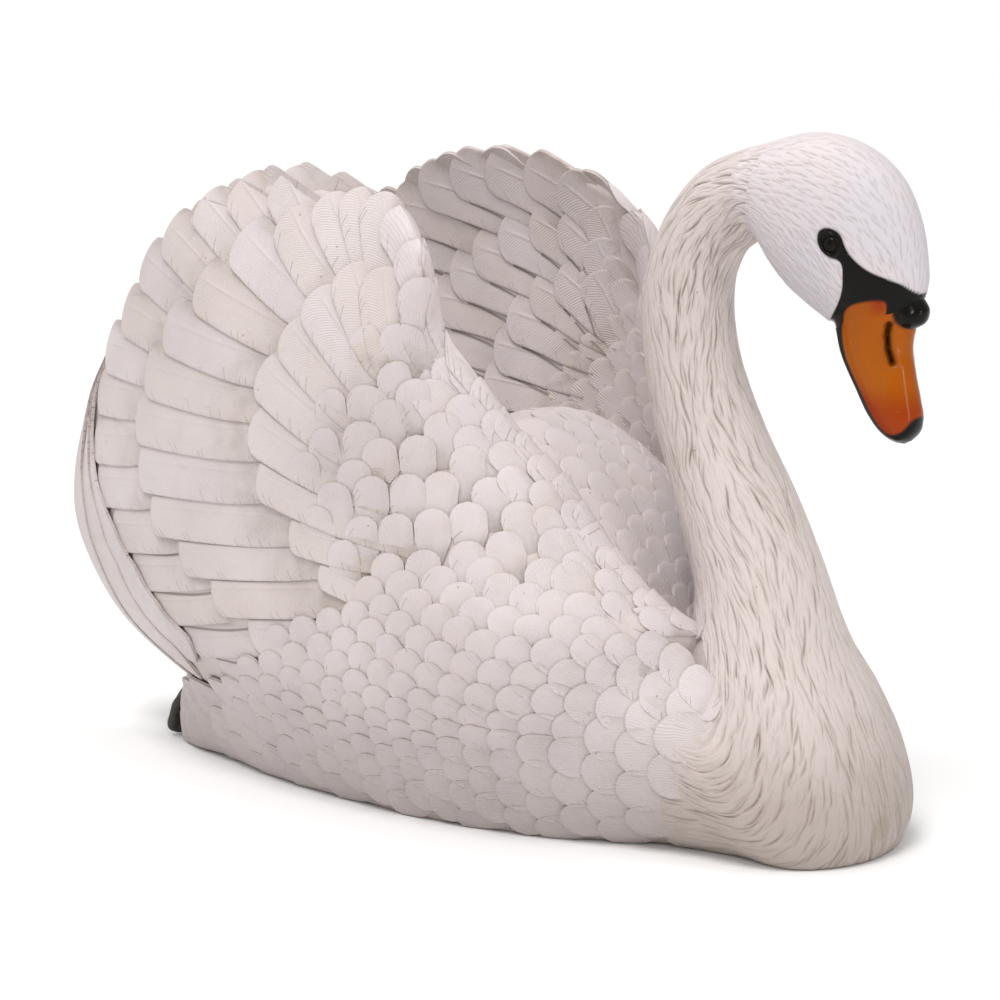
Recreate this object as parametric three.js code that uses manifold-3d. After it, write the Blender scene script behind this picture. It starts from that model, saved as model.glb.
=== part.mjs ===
// A life-size statue of a mute swan afloat, cast in resin and painted: breast low, neck arched,
// wings raised into two fans with an open hollow between them, and a flat base at the waterline.
// Millimetres. +X runs to the bill, +Y to the bird's left and +Z up. The origin is on the base,
// on the plane of symmetry.

import * as THREE from 'three';
import { mergeVertices } from 'three/addons/utils/BufferGeometryUtils.js';
import Module from 'manifold-3d';

// ---------------------------------------------------------------- driving dimensions

const SEAM = 0.5;               // hairline between pieces that touch
const KEEL_DEPTH = 200;         // how far the cutter under the base reaches
const CUTTER_SPAN = 1200;       // wider than the whole bird
const FULL_TURN = 2 * Math.PI;

// How finely each body is faceted: slices along it, and points round each slice.
const FACETS = {
  trunk: { steps: 32, sides: 32 },
  lowerNeck: { steps: 7, sides: 24 },
  upperNeck: { steps: 10, sides: 24 },
  head: { steps: 12, sides: 24 },
  upperBill: { steps: 10, sides: 17 },
  lowerBill: { steps: 10, sides: 8 },
  knob: { steps: 10, sides: 14 },
  eye: { steps: 7, sides: 12 },
  tail: { steps: 7, sides: 18 },
  foot: { steps: 7, sides: 14 },
};

// A slice through the bird: [back x, back z, belly x, belly z, half width, squareness].
// Its plane holds the back point, the belly point and the Y direction. Its outline is a
// superellipse, 2 being an ellipse and more being boxier. Slices fan round the breast and neck.
const TRUNK_SLICES = [
  [-324, 40, -323, -20, 44, 2.6],       // stern, under the tail
  [-319, 62, -317, -24, 65, 2.6],
  [-300, 88, -300, -26, 84, 2.5],
  [-250, 120, -250, -21, 108, 2.4],
  [-170, 165, -170, -33, 134, 2.4],     // floor of the hollow between the wings
  [-95, 210, -80, -43, 148, 2.4],
  [-40, 285, -20, -64, 152, 2.3],       // step up to the mantle
  [5, 300, 40, -64, 151, 2.2],          // top of the mantle
  [55, 272, 105, -41, 144, 2.2],
  [95, 232, 170, -19, 127, 2.2],
  [125, 190, 235, -14, 111, 2.2],
  [143, 160, 297, -13, 102, 2.2],       // fold where the back meets the neck
  [149, 152, 316.5, 14, 94, 2.15],      // foremost point of the breast
  [151, 155, 315, 60, 81, 2.1],
  [152, 164, 297, 108, 69, 2],
  [153, 174, 272, 148, 59, 2],
];

// The neck is a bent tube: [axis x, axis z, radius, lean of the slice in degrees].
const NECK_RINGS = [
  [199, 200, 48.7, 106],
  [182, 243, 44.7, 111],
  [163, 284, 40.5, 113],
  [148, 320, 38, 108],
  [138, 357, 35.5, 100],
  [134.5, 392, 34, 90],
  [139, 425, 33, 74],
  [153, 453, 32.5, 54],
  [175, 473, 33.5, 32],
];

const HEAD_SLICES = [
  [205, 518.5, 200, 450, 36, 2],        // nape
  [245, 527.5, 212, 430, 37, 2],        // crown
  [283, 520.5, 224, 416, 37, 2],
  [312, 500, 236, 407, 35, 2],
  [328, 470, 247, 400, 32, 2],          // forehead
  [335, 437, 257, 394, 27, 2],
  [336.5, 412, 264, 389, 22.5, 2],      // root of the bill
];

const BILL_SLICES = [
  [331.1, 409.5, 264.6, 388.4, 21.5, 2],
  [324.5, 382, 270, 370, 19.5, 2],
  [327, 360, 283.5, 346, 18, 2.1],
  [331, 341, 295, 328, 17.5, 2.2],
  [333, 327, 307, 316, 15.5, 2.2],
  [330, 317, 317, 311.5, 10.5, 2.2],
  [326, 312, 322, 310.8, 3, 2],         // tip of the nail
];
const GAPE_ANGLE = 128;                 // degrees from the culmen to the edge of the upper bill
const GAPE_GAP = 1.7;                   // degrees between the edges of the two halves

const FIRST_NECK_SLICE = TRUNK_SLICES.length;
const MIDDLE_NECK_SLICE = FIRST_NECK_SLICE + 4;
const FIRST_HEAD_SLICE = FIRST_NECK_SLICE + NECK_RINGS.length;

// Edge of a raised wing, once round: [x, z, distance from the symmetry plane, edge thickness,
// fullness]. The fuller it is, the longer the outer face stays wide before it turns in.
const WING_EDGE = [
  [187, 158, 50, 20, 5],                // shoulder, where the wing sinks into the breast
  [150, 191, 73, 22, 3.4],
  [117, 225, 86, 24, 3],
  [87, 270, 97, 24, 2.6],
  [57, 301, 108, 22, 2.4],
  [31, 338, 122, 19, 2.2],
  [3, 376, 135, 16, 2.2],
  [-1, 428, 145, 14, 2.2],
  [-26, 457, 134, 12, 2.2],
  [-57, 476, 124, 11, 2.2],             // first long feather
  [-119, 486, 125, 10, 2.2],
  [-208, 478, 117, 10, 2.2],
  [-248, 458, 123, 10, 2.2],
  [-303, 406, 122, 10, 2.2],
  [-361, 318, 113, 10, 2.2],
  [-394, 262, 103, 10, 2.3],            // last feather that stands clear
  [-411, 219, 96, 11, 2.4],
  [-416, 180, 90, 12, 2.5],             // rearmost point
  [-408, 138, 80, 12, 2.6],
  [-386, 98, 68, 11, 2.8],
  [-342, 64, 57, 11, 3],                // crossed tips over the tail
  [-262, 36, 62, 20, 3.2],
  [-170, 24, 76, 30, 3.4],
  [-80, 20, 88, 36, 3.6],
  [20, 24, 88, 36, 3.8],
  [110, 48, 72, 32, 4.4],
  [165, 100, 62, 24, 6],
];
const LEFT_WING_SHIFT = [7, 2, -4];               // the left wing stands a little further forward
const WING_HUB = { x: -80, z: 200, y: 190 };      // where a wing stands widest
const WING_ROOT_THICKNESS = 92;                   // at the hub
const WING_TAPER = 1.3;                           // how the thickness falls away towards the edge
// The wing's section from the hub to the edge and back along the inner face:
// [share of the way to the edge, share of the thickness].
const WING_SECTION = [
  [0.4, 0], [0.68, 0], [0.86, 0], [0.96, 0.02], [1, 0.5], [0.96, 1], [0.8, 1], [0.45, 1],
];
const FIRST_TIP_POINT = 9;
const LAST_TIP_POINT = 15;
const FEATHER_TIPS = 14;
const TIP_SAMPLES = 3;
const TIP_DEPTH = 6;                              // notch between two feather tips
const PLAIN_SAMPLES = 40;                         // edge points where there are no tips

const TAIL_SLICES = [
  [-262, 108, -262, 60, 52, 2.2],
  [-300, 104, -300, 70, 47, 2.2],
  [-330, 106, -330, 84, 42, 2.2],
  [-352, 112, -352, 97, 34, 2.2],
  [-368, 118, -368, 108, 22, 2.2],
  [-374, 119, -374, 113, 8, 2],
];

const FOOT_SLICES = [
  [-306, 50, -310, 36, 9, 2],           // ankle
  [-322, 46, -314, 34, 13, 2],
  [-332, 34, -320, 27, 18, 2.2],        // web
  [-336, 20, -324, 16, 20, 2.2],
  [-336, 8, -326, 6, 20, 2.4],
  [-332, 3, -327, 2.5, 15, 2.4],        // toe tips
];
const FOOT_OFFSET = 46;                 // from the symmetry plane

const KNOB = { x: 321, z: 409, length: 17, width: 14.5, height: 17 };
const EYE = { x: 276, z: 453, offset: 28.5, radius: 8 };

// ---------------------------------------------------------------- finishes

const RESIN = { color: 0xe3d9d3, roughness: 0.62, metalness: 0 };
const HEAD_PAINT = { color: 0xece6e6, roughness: 0.55, metalness: 0 };
const GLOSS_BLACK = { color: 0x0e0d0b, roughness: 0.16, metalness: 0 };
const ORANGE_PAINT = { color: 0xc87008, roughness: 0.18, metalness: 0 };
const FOOT_PAINT = { color: 0x2d2a24, roughness: 0.5, metalness: 0 };

// ---------------------------------------------------------------- solids

const wasm = await Module();
wasm.setup();

function signedVolume(points, triangles) {
  let sum = 0;
  for (const [a, b, c] of triangles) {
    sum += points[a].dot(new THREE.Vector3().crossVectors(points[b], points[c]));
  }
  return sum / 6;
}

// A closed geometry with its faces pointing out, whichever way the triangles were listed.
function closedGeometry(points, triangles) {
  const facesOut = signedVolume(points, triangles) > 0;
  const geometry = new THREE.BufferGeometry();
  geometry.setFromPoints(points);
  geometry.setIndex(triangles.flatMap(([a, b, c]) => (facesOut ? [a, b, c] : [a, c, b])));
  return geometry;
}

function solidOf(geometry) {
  const bare = new THREE.BufferGeometry();
  bare.setAttribute('position', geometry.getAttribute('position'));
  bare.setIndex(geometry.getIndex());
  const merged = mergeVertices(bare);
  return new wasm.Manifold(new wasm.Mesh({
    numProp: 3,
    vertProperties: new Float32Array(merged.getAttribute('position').array),
    triVerts: new Uint32Array(merged.getIndex().array),
  }));
}

function geometryOf(solid) {
  const mesh = solid.getMesh();
  const geometry = new THREE.BufferGeometry();
  const vertices = new Float32Array(mesh.vertProperties);
  geometry.setAttribute('position', new THREE.BufferAttribute(vertices, 3));
  geometry.setIndex(new THREE.BufferAttribute(new Uint32Array(mesh.triVerts), 1));
  geometry.computeVertexNormals();
  return geometry;
}

// Joins rings of equally many points into a tube, closed at each end by a fan round a pole.
function tubeSolid(rings, firstPole, lastPole) {
  const count = rings[0].length;
  const points = rings.flat();
  const start = points.push(firstPole) - 1;
  const end = points.push(lastPole) - 1;
  const lastRing = (rings.length - 1) * count;
  const triangles = [];
  for (let i = 0; i < count; i += 1) {
    const next = (i + 1) % count;
    for (let row = 0; row < lastRing; row += count) {
      triangles.push([row + i, row + next, row + count + next]);
      triangles.push([row + i, row + count + next, row + count + i]);
    }
    triangles.push([start, next, i]);
    triangles.push([end, lastRing + i, lastRing + next]);
  }
  return solidOf(closedGeometry(points, triangles));
}

// The solid with its corners moved out along their normals, to cut its neighbours with.
function grown(solid) {
  const geometry = geometryOf(solid);
  const position = geometry.getAttribute('position');
  const normal = geometry.getAttribute('normal');
  const points = Array.from({ length: position.count }, (_, i) => (
    new THREE.Vector3().fromBufferAttribute(position, i)
      .addScaledVector(new THREE.Vector3().fromBufferAttribute(normal, i), SEAM)));
  geometry.setFromPoints(points);
  return solidOf(geometry);
}

function centreOf(ring) {
  const sum = new THREE.Vector3();
  for (const point of ring) sum.add(point);
  return sum.divideScalar(ring.length);
}

// ---------------------------------------------------------------- curves through rows of numbers

// A smooth curve through rows, each row being a point in as many dimensions as it has numbers.
function rowCurve(rows, knots) {
  const slope = (i, column) => {
    const before = Math.max(i - 1, 0);
    const after = Math.min(i + 1, rows.length - 1);
    const rise = (a, b) => (rows[b][column] - rows[a][column]) / (knots[b] - knots[a]);
    if (before === i) return rise(i, after);
    if (after === i) return rise(before, i);
    return (rise(before, i) + rise(i, after)) / 2;
  };
  return (at) => {
    const last = rows.length - 2;
    const i = Math.min(last, Math.max(0, knots.findLastIndex((knot) => knot <= at)));
    const span = knots[i + 1] - knots[i];
    const t = (at - knots[i]) / span;
    return rows[i].map((value, column) => (2 * t ** 3 - 3 * t ** 2 + 1) * value
      + (t ** 3 - 2 * t ** 2 + t) * span * slope(i, column)
      + (3 * t ** 2 - 2 * t ** 3) * rows[i + 1][column]
      + (t ** 3 - t ** 2) * span * slope(i + 1, column));
  };
}

// Knots grow with the way the slice's middle moves, and a quarter of the way its belly moves.
function sliceKnots(slices) {
  const knots = [0];
  for (let i = 1; i < slices.length; i += 1) {
    const [a, b] = [slices[i - 1], slices[i]];
    const middle = Math.hypot(b[0] + b[2] - a[0] - a[2], b[1] + b[3] - a[1] - a[3]) / 2;
    const belly = Math.hypot(b[2] - a[2], b[3] - a[3]) / 4;
    knots.push(knots[i - 1] + middle + belly);
  }
  return knots;
}

const signedPower = (value, power) => Math.sign(value) * Math.abs(value) ** power;

// Outline of one slice between two angles measured from the back.
function sliceRing(slice, sides, from = 0, to = FULL_TURN) {
  const [backX, backZ, bellyX, bellyZ, halfWidth, squareness] = slice;
  const [midX, midZ] = [(backX + bellyX) / 2, (backZ + bellyZ) / 2];
  const halfDepth = Math.hypot(backX - bellyX, backZ - bellyZ) / 2;
  const up = [(backX - midX) / halfDepth, (backZ - midZ) / halfDepth];
  const whole = to - from === FULL_TURN;
  return Array.from({ length: sides }, (_, i) => {
    const angle = from + ((to - from) * i) / (whole ? sides : sides - 1);
    const rise = signedPower(Math.cos(angle), 2 / squareness) * halfDepth;
    const side = signedPower(Math.sin(angle), 2 / squareness) * halfWidth;
    return new THREE.Vector3(midX + up[0] * rise, side, midZ + up[1] * rise);
  });
}

// The length of a lofted body from one slice to another, as a closed solid.
function loft(slices, { from = 0, to = slices.length - 1, steps, sides, inset = 0 }) {
  const knots = sliceKnots(slices);
  const curve = rowCurve(slices, knots);
  const start = knots[from] + inset;
  const end = knots[to];
  const rings = Array.from({ length: steps + 1 }, (_, i) => {
    const at = start + ((end - start) * i) / steps;
    return sliceRing(curve(at), sides);
  });
  return tubeSolid(rings, centreOf(rings[0]), centreOf(rings[steps]));
}

// ---------------------------------------------------------------- trunk, neck and head

function neckSlice([axisX, axisZ, radius, lean]) {
  const angle = THREE.MathUtils.degToRad(lean);
  const [alongX, alongZ] = [-Math.sin(angle) * radius, Math.cos(angle) * radius];
  return [axisX + alongX, axisZ + alongZ, axisX - alongX, axisZ - alongZ, radius, 2];
}

const BODY_SLICES = [...TRUNK_SLICES, ...NECK_RINGS.map(neckSlice), ...HEAD_SLICES];

function belowBase() {
  const block = new THREE.BoxGeometry(CUTTER_SPAN, CUTTER_SPAN, KEEL_DEPTH);
  block.translate(0, 0, -KEEL_DEPTH / 2);
  return solidOf(block);
}

function trunkSolid() {
  return loft(BODY_SLICES, { to: FIRST_NECK_SLICE, ...FACETS.trunk }).subtract(belowBase());
}

function lowerNeckSolid() {
  const range = { from: FIRST_NECK_SLICE, to: MIDDLE_NECK_SLICE, inset: SEAM };
  return loft(BODY_SLICES, { ...range, ...FACETS.lowerNeck });
}

function upperNeckSolid() {
  const range = { from: MIDDLE_NECK_SLICE, to: FIRST_HEAD_SLICE, inset: SEAM };
  return loft(BODY_SLICES, { ...range, ...FACETS.upperNeck });
}

function knobSolid() {
  const ball = new THREE.SphereGeometry(1, FACETS.knob.sides, FACETS.knob.steps);
  ball.scale(KNOB.length, KNOB.width, KNOB.height);
  ball.translate(KNOB.x, 0, KNOB.z);
  return solidOf(ball);
}

function eyeSolid(side) {
  const ball = new THREE.SphereGeometry(EYE.radius, FACETS.eye.sides, FACETS.eye.steps);
  ball.translate(EYE.x, side * EYE.offset, EYE.z);
  return solidOf(ball);
}

function headSolid() {
  const range = { from: FIRST_HEAD_SLICE, inset: 2 * SEAM };
  return loft(BODY_SLICES, { ...range, ...FACETS.head })
    .subtract(grown(knobSolid()))
    .subtract(grown(eyeSolid(1)))
    .subtract(grown(eyeSolid(-1)));
}

// ---------------------------------------------------------------- bill

// The bill is parted along the gape: the upper half takes the slices from one gape edge over
// the culmen to the other, and the lower half takes the rest, drawn in by the seam.
function billHalf(isUpper) {
  const knots = sliceKnots(BILL_SLICES);
  const curve = rowCurve(BILL_SLICES, knots);
  const gape = THREE.MathUtils.degToRad(GAPE_ANGLE);
  const lowerEdge = THREE.MathUtils.degToRad(GAPE_ANGLE + GAPE_GAP);
  const [from, to] = isUpper ? [-gape, gape] : [lowerEdge, FULL_TURN - lowerEdge];
  const { steps, sides } = isUpper ? FACETS.upperBill : FACETS.lowerBill;
  const rings = Array.from({ length: steps + 1 }, (_, i) => {
    const slice = curve((knots.at(-1) * i) / steps);
    const ring = sliceRing(slice, sides, from, to);
    if (isUpper) return ring;
    const down = new THREE.Vector3(slice[2] - slice[0], 0, slice[3] - slice[1]).setLength(SEAM);
    return ring.map((point) => point.add(down));
  });
  return tubeSolid(rings, centreOf(rings[0]), centreOf(rings[steps])).subtract(grown(knobSolid()));
}

// ---------------------------------------------------------------- wings

function edgeKnots(points) {
  const knots = [0];
  for (let i = 1; i < points.length; i += 1) {
    const [a, b] = [points[i - 1], points[i]];
    knots.push(knots[i - 1] + Math.hypot(b[0] - a[0], b[1] - a[1]));
  }
  return knots;
}

// Points once round the wing's edge, closer together and notched where the long feathers end.
function wingRim() {
  const points = [...WING_EDGE, WING_EDGE[0]];
  const knots = edgeKnots(points);
  const curve = rowCurve(points, knots);
  const rim = [];
  const add = (at, notch) => {
    const [x, z, y, thickness, fullness] = curve(at);
    const reach = Math.hypot(x - WING_HUB.x, z - WING_HUB.z);
    const scale = (reach - notch) / reach;
    rim.push({
      x: WING_HUB.x + (x - WING_HUB.x) * scale,
      z: WING_HUB.z + (z - WING_HUB.z) * scale,
      y,
      thickness,
      fullness,
    });
  };
  const tipSpan = knots[LAST_TIP_POINT] - knots[FIRST_TIP_POINT];
  const tipCount = FEATHER_TIPS * TIP_SAMPLES;
  for (let i = 0; i < tipCount; i += 1) {
    const phase = (i % TIP_SAMPLES) / TIP_SAMPLES;
    const notch = TIP_DEPTH * (1 - Math.sin(Math.PI * phase));
    add(knots[FIRST_TIP_POINT] + (tipSpan * i) / tipCount, notch);
  }
  const plainSpan = knots.at(-1) - tipSpan;
  for (let i = 0; i < PLAIN_SAMPLES; i += 1) {
    add((knots[LAST_TIP_POINT] + (plainSpan * i) / PLAIN_SAMPLES) % knots.at(-1), 0);
  }
  return rim;
}

// A point of the wing, from its share of the way from the hub to a rim point and its share
// of the thickness there, 0 on the outer face and 1 on the inner one.
function wingPoint(rim, [reach, depth], side) {
  const outer = WING_HUB.y + (rim.y - WING_HUB.y) * reach ** rim.fullness;
  const thickness = rim.thickness + (WING_ROOT_THICKNESS - rim.thickness) * (1 - reach) ** WING_TAPER;
  return new THREE.Vector3(
    WING_HUB.x + (rim.x - WING_HUB.x) * reach,
    side * (outer - thickness * depth),
    WING_HUB.z + (rim.z - WING_HUB.z) * reach,
  );
}

function wingSolid(side) {
  const rim = wingRim();
  const rings = WING_SECTION.map((place) => rim.map((point) => wingPoint(point, place, side)));
  return tubeSolid(rings, wingPoint(rim[0], [0, 0], side), wingPoint(rim[0], [0, 1], side))
    .translate(side > 0 ? LEFT_WING_SHIFT : [0, 0, 0])
    .subtract(grown(trunkSolid()))
    .subtract(grown(lowerNeckSolid()));
}

// ---------------------------------------------------------------- tail and feet

function tailSolid() {
  return loft(TAIL_SLICES, FACETS.tail).subtract(grown(trunkSolid()));
}

function footSolid(side) {
  const paddle = loft(FOOT_SLICES, FACETS.foot).translate([0, side * FOOT_OFFSET, 0]);
  return paddle.subtract(grown(trunkSolid()));
}

// ---------------------------------------------------------------- the statue

const group = new THREE.Group();

function addPart(name, solid, finish) {
  const mesh = new THREE.Mesh(geometryOf(solid), new THREE.MeshStandardMaterial(finish));
  mesh.name = name;
  group.add(mesh);
}

addPart('trunk', trunkSolid(), RESIN);
addPart('neck_lower', lowerNeckSolid(), RESIN);
addPart('neck_upper', upperNeckSolid(), RESIN);
addPart('head', headSolid(), HEAD_PAINT);
addPart('bill_upper', billHalf(true), ORANGE_PAINT);
addPart('bill_lower', billHalf(false), GLOSS_BLACK);
addPart('bill_knob', knobSolid(), GLOSS_BLACK);
addPart('tail', tailSolid(), RESIN);

for (const [label, side] of [['left', 1], ['right', -1]]) {
  addPart(`wing_${label}`, wingSolid(side), RESIN);
  addPart(`eye_${label}`, eyeSolid(side), GLOSS_BLACK);
  addPart(`foot_${label}`, footSolid(side), FOOT_PAINT);
}

export default group;
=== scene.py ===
"""Looks of a life-size painted resin statue of a mute swan, built round its CAD frame.

Metres. +X runs to the bill, +Y to the bird's left, +Z up. Every piece is a surface worked out with
numpy on a grid of two parameters, over the same driving slices and edges as the frame's solids.
"""

import math

import bpy
import numpy as np
from bpy.props import FloatProperty, FloatVectorProperty, PointerProperty
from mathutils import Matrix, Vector


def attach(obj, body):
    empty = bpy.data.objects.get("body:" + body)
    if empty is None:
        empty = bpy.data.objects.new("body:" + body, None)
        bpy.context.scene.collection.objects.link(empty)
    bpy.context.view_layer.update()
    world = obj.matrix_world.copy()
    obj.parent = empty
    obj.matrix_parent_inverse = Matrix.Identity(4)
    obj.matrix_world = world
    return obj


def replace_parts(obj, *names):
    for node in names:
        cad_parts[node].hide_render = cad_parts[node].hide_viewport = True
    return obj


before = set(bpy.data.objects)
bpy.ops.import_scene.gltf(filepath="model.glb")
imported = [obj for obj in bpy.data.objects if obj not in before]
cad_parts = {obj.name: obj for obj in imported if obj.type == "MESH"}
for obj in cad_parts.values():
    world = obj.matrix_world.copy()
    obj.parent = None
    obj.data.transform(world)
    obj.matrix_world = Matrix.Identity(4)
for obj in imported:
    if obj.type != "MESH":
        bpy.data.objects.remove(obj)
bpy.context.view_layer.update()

bl_info = {
    "name": "Resin Swan Statue",
    "version": (1, 0, 0),
    "blender": (4, 5, 0),
    "location": "3D View > Sidebar > Swan",
    "description": "Skins, feathers, bill and paint of a mute swan statue, and its stage",
    "category": "Add Mesh",
}

# ---------------------------------------------------------------- driving dimensions

MM = 0.001
SIDES = (("right", -1), ("left", 1))

# A slice through the bird: [back x, back z, belly x, belly z, half width, squareness], in mm.
TRUNK_SLICES = [
    [-324, 40, -323, -20, 44, 2.6],        # stern, under the tail
    [-319, 62, -317, -24, 65, 2.6],
    [-300, 88, -300, -26, 84, 2.5],
    [-250, 120, -250, -21, 108, 2.4],
    [-170, 165, -170, -33, 134, 2.4],      # floor of the hollow between the wings
    [-95, 210, -80, -43, 148, 2.4],
    [-40, 285, -20, -64, 152, 2.3],        # step up to the mantle
    [5, 300, 40, -64, 151, 2.2],           # top of the mantle
    [55, 272, 105, -41, 144, 2.2],
    [95, 232, 170, -19, 127, 2.2],
    [125, 190, 235, -14, 111, 2.2],
    [143, 160, 297, -13, 102, 2.2],        # fold where the back meets the neck
    [149, 152, 316.5, 14, 94, 2.15],       # foremost point of the breast
    [151, 155, 315, 60, 81, 2.1],
    [152, 164, 297, 108, 69, 2],
    [153, 174, 272, 148, 59, 2],
]
# The neck is a bent tube: [axis x, axis z, radius, lean of the slice in degrees], in mm.
NECK_RINGS = [
    [199, 200, 48.7, 106],
    [182, 243, 44.7, 111],
    [163, 284, 40.5, 113],
    [148, 320, 38, 108],
    [138, 357, 35.5, 100],
    [134.5, 392, 34, 90],
    [139, 425, 33, 74],
    [153, 453, 32.5, 54],
    [175, 473, 33.5, 32],
]
HEAD_SLICES = [
    [205, 518.5, 200, 450, 36, 2],         # nape
    [245, 527.5, 212, 430, 37, 2],         # crown
    [283, 520.5, 224, 416, 37, 2],
    [312, 500, 236, 407, 35, 2],
    [328, 470, 247, 400, 32, 2],           # forehead
    [335, 437, 257, 394, 27, 2],
    [336.5, 412, 264, 389, 22.5, 2],       # root of the bill
]
BILL_SLICES = [
    [331.1, 409.5, 264.6, 388.4, 21.5, 2],
    [324.5, 382, 270, 370, 19.5, 2],
    [327, 360, 283.5, 346, 18, 2.1],
    [331, 341, 295, 328, 17.5, 2.2],
    [333, 327, 307, 316, 15.5, 2.2],
    [330, 317, 317, 311.5, 10.5, 2.2],
    [326, 312, 322, 310.8, 3, 2],          # tip of the nail
]
TAIL_SLICES = [
    [-262, 108, -262, 60, 52, 2.2],
    [-300, 104, -300, 70, 47, 2.2],
    [-330, 106, -330, 84, 42, 2.2],
    [-352, 112, -352, 97, 34, 2.2],
    [-368, 118, -368, 108, 22, 2.2],
    [-374, 119, -374, 113, 8, 2],
]
FOOT_SLICES = [
    [-306, 50, -310, 36, 9, 2],            # ankle
    [-322, 46, -314, 34, 13, 2],
    [-332, 34, -320, 27, 18, 2.2],         # web
    [-336, 20, -324, 16, 20, 2.2],
    [-336, 8, -326, 6, 20, 2.4],
    [-332, 3, -327, 2.5, 15, 2.4],         # toe tips
]
FOOT_OFFSET = 46 * MM
SLICE_LENGTHS = 5                          # leading columns of a slice that are lengths

# Edge of a raised wing, once round, in mm: [x, z, distance from the symmetry plane, thickness,
# fullness]. The fuller it is, the longer the outer face stays wide before it turns in.
WING_EDGE = [
    [187, 158, 50, 20, 5],                 # shoulder, where the wing sinks into the breast
    [150, 191, 73, 22, 3.4],
    [117, 225, 86, 24, 3],
    [87, 270, 97, 24, 2.6],
    [57, 301, 108, 22, 2.4],
    [31, 338, 122, 19, 2.2],
    [3, 376, 135, 16, 2.2],
    [-1, 428, 145, 14, 2.2],
    [-26, 457, 134, 12, 2.2],
    [-57, 476, 124, 11, 2.2],              # first long feather
    [-119, 486, 125, 10, 2.2],
    [-208, 478, 117, 10, 2.2],
    [-248, 458, 123, 10, 2.2],
    [-303, 406, 122, 10, 2.2],
    [-361, 318, 113, 10, 2.2],
    [-394, 262, 103, 10, 2.3],             # last feather that stands clear
    [-411, 219, 96, 11, 2.4],
    [-416, 180, 90, 12, 2.5],              # rearmost point
    [-408, 138, 80, 12, 2.6],
    [-386, 98, 68, 11, 2.8],
    [-342, 64, 57, 11, 3],                 # crossed tips over the tail
    [-262, 36, 62, 20, 3.2],
    [-170, 24, 76, 30, 3.4],
    [-80, 20, 88, 36, 3.6],
    [20, 24, 88, 36, 3.8],
    [110, 48, 72, 32, 4.4],
    [165, 100, 62, 24, 6],
]
EDGE_LENGTHS = 4
WING_SHIFT = {-1: (0.0, 0.0, 0.0), 1: (7 * MM, 2 * MM, -4 * MM)}   # the left wing stands forward
WING_HUB = (-80 * MM, 200 * MM)            # x and z where a wing stands widest
WING_HUB_Y = 190 * MM
WING_ROOT_THICKNESS = 92 * MM
WING_TAPER = 1.3

KNOB = (320 * MM, 405 * MM)
KNOB_RADII = (17.5 * MM, 14.5 * MM, 13.5 * MM)
EYE = (276 * MM, 28.5 * MM, 453 * MM)
EYEBALL_RADII = (7.4 * MM,) * 3
LID_RADII, LID_LEAN = (9.2 * MM, 6.6 * MM), math.radians(-48)
CAMERA_ANGLES = (37, 11.5)                 # bearing from -Y towards +X, and height, in degrees
CAMERA_TARGET = (0.035, -0.100, 0.25)
CAMERA_REACH, CAMERA_LENS = 2.6, 126.0     # distance to the target in m, focal length in mm
NOSTRIL = [[316, 397], [314.3, 389.6], [314.6, 378.7], [317.5, 369.5]]     # [x, z] in mm, downwards
GAPE = math.radians(150)                   # turn from the back of the bill to the mouth line
WORN_PATCH = (0.316, -0.013, 0.027)
NECK_SEAM = 20 * MM                        # knot distance of the coat's seam past the trunk
HEAD_SEAM = 8 * MM                         # and before the head

# How far a wing's skin lies under its feathers, in mm: along the front and how much more towards
# the rear, at the edge, on the outer face and on the inner one.
EDGE_INSET, OUTER_INSET, INNER_INSET = (3.2, 7.8), (2.8, 2.0), (2.8, 0.7)

# Rear bound of the fine strands round the breast: [degrees from the back, knot distance in mm].
STRAND_START = [
    [0, 873], [28, 868], [58, 842], [70, 800], [77, 735], [85, 694], [93, 673],
    [101, 658], [115, 642], [142, 612], [180, 600],
]

# Long feathers, in mm: [tip x, tip z, heading at the tip in degrees, length, width, bend]. The
# heading is counted from +X towards +Z. The root lies bend * length aside of it. The tiers of the
# hollow have no bend, and are filled evenly between their rows.
OUTER_TIER = [
    [-157, 483, 141, 90, 50, 0], [-203, 474, 149, 95, 46, 0.03], [-237, 459, 153, 95, 44, 0.05],
    [-273, 434, 160, 100, 48, 0.08], [-301, 407, 165, 100, 48, 0.04], [-324, 367, 172, 105, 48, 0],
    [-349, 333, 179, 125, 48, 0], [-358, 298, 184, 115, 48, -0.02],
    [-358, 259, 186, 120, 48, -0.04], [-347, 226, 188, 130, 48, 0], [-316, 194, 189, 135, 46, 0],
    [-286, 166, 189, 140, 42, -0.03], [-260, 141, 191, 150, 42, -0.03],
    [-224, 118, 190, 140, 38, -0.04], [-192, 98, 195, 120, 34, -0.04],
]
MIDDLE_TIER = [
    [-58, 476, 110, 110, 40, -0.12], [-80, 478, 117, 105, 38, -0.12],
    [-104, 472, 127, 108, 42, -0.13], [-138, 458, 136, 118, 50, -0.11],
    [-184, 438, 151, 148, 54, -0.08], [-218, 400, 163, 150, 52, -0.04],
    [-253, 364, 171, 165, 50, -0.03], [-276, 326, 177, 190, 50, -0.03],
    [-285, 288, 181, 200, 50, -0.02], [-276, 252, 183, 200, 50, -0.02],
    [-255, 220, 184, 205, 48, -0.01], [-217, 194, 186, 195, 48, -0.02],
    [-179, 167, 187, 155, 46, -0.02], [-141, 141, 187, 120, 44, -0.04],
    [-108, 117, 184, 90, 36, -0.06],
]
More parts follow.
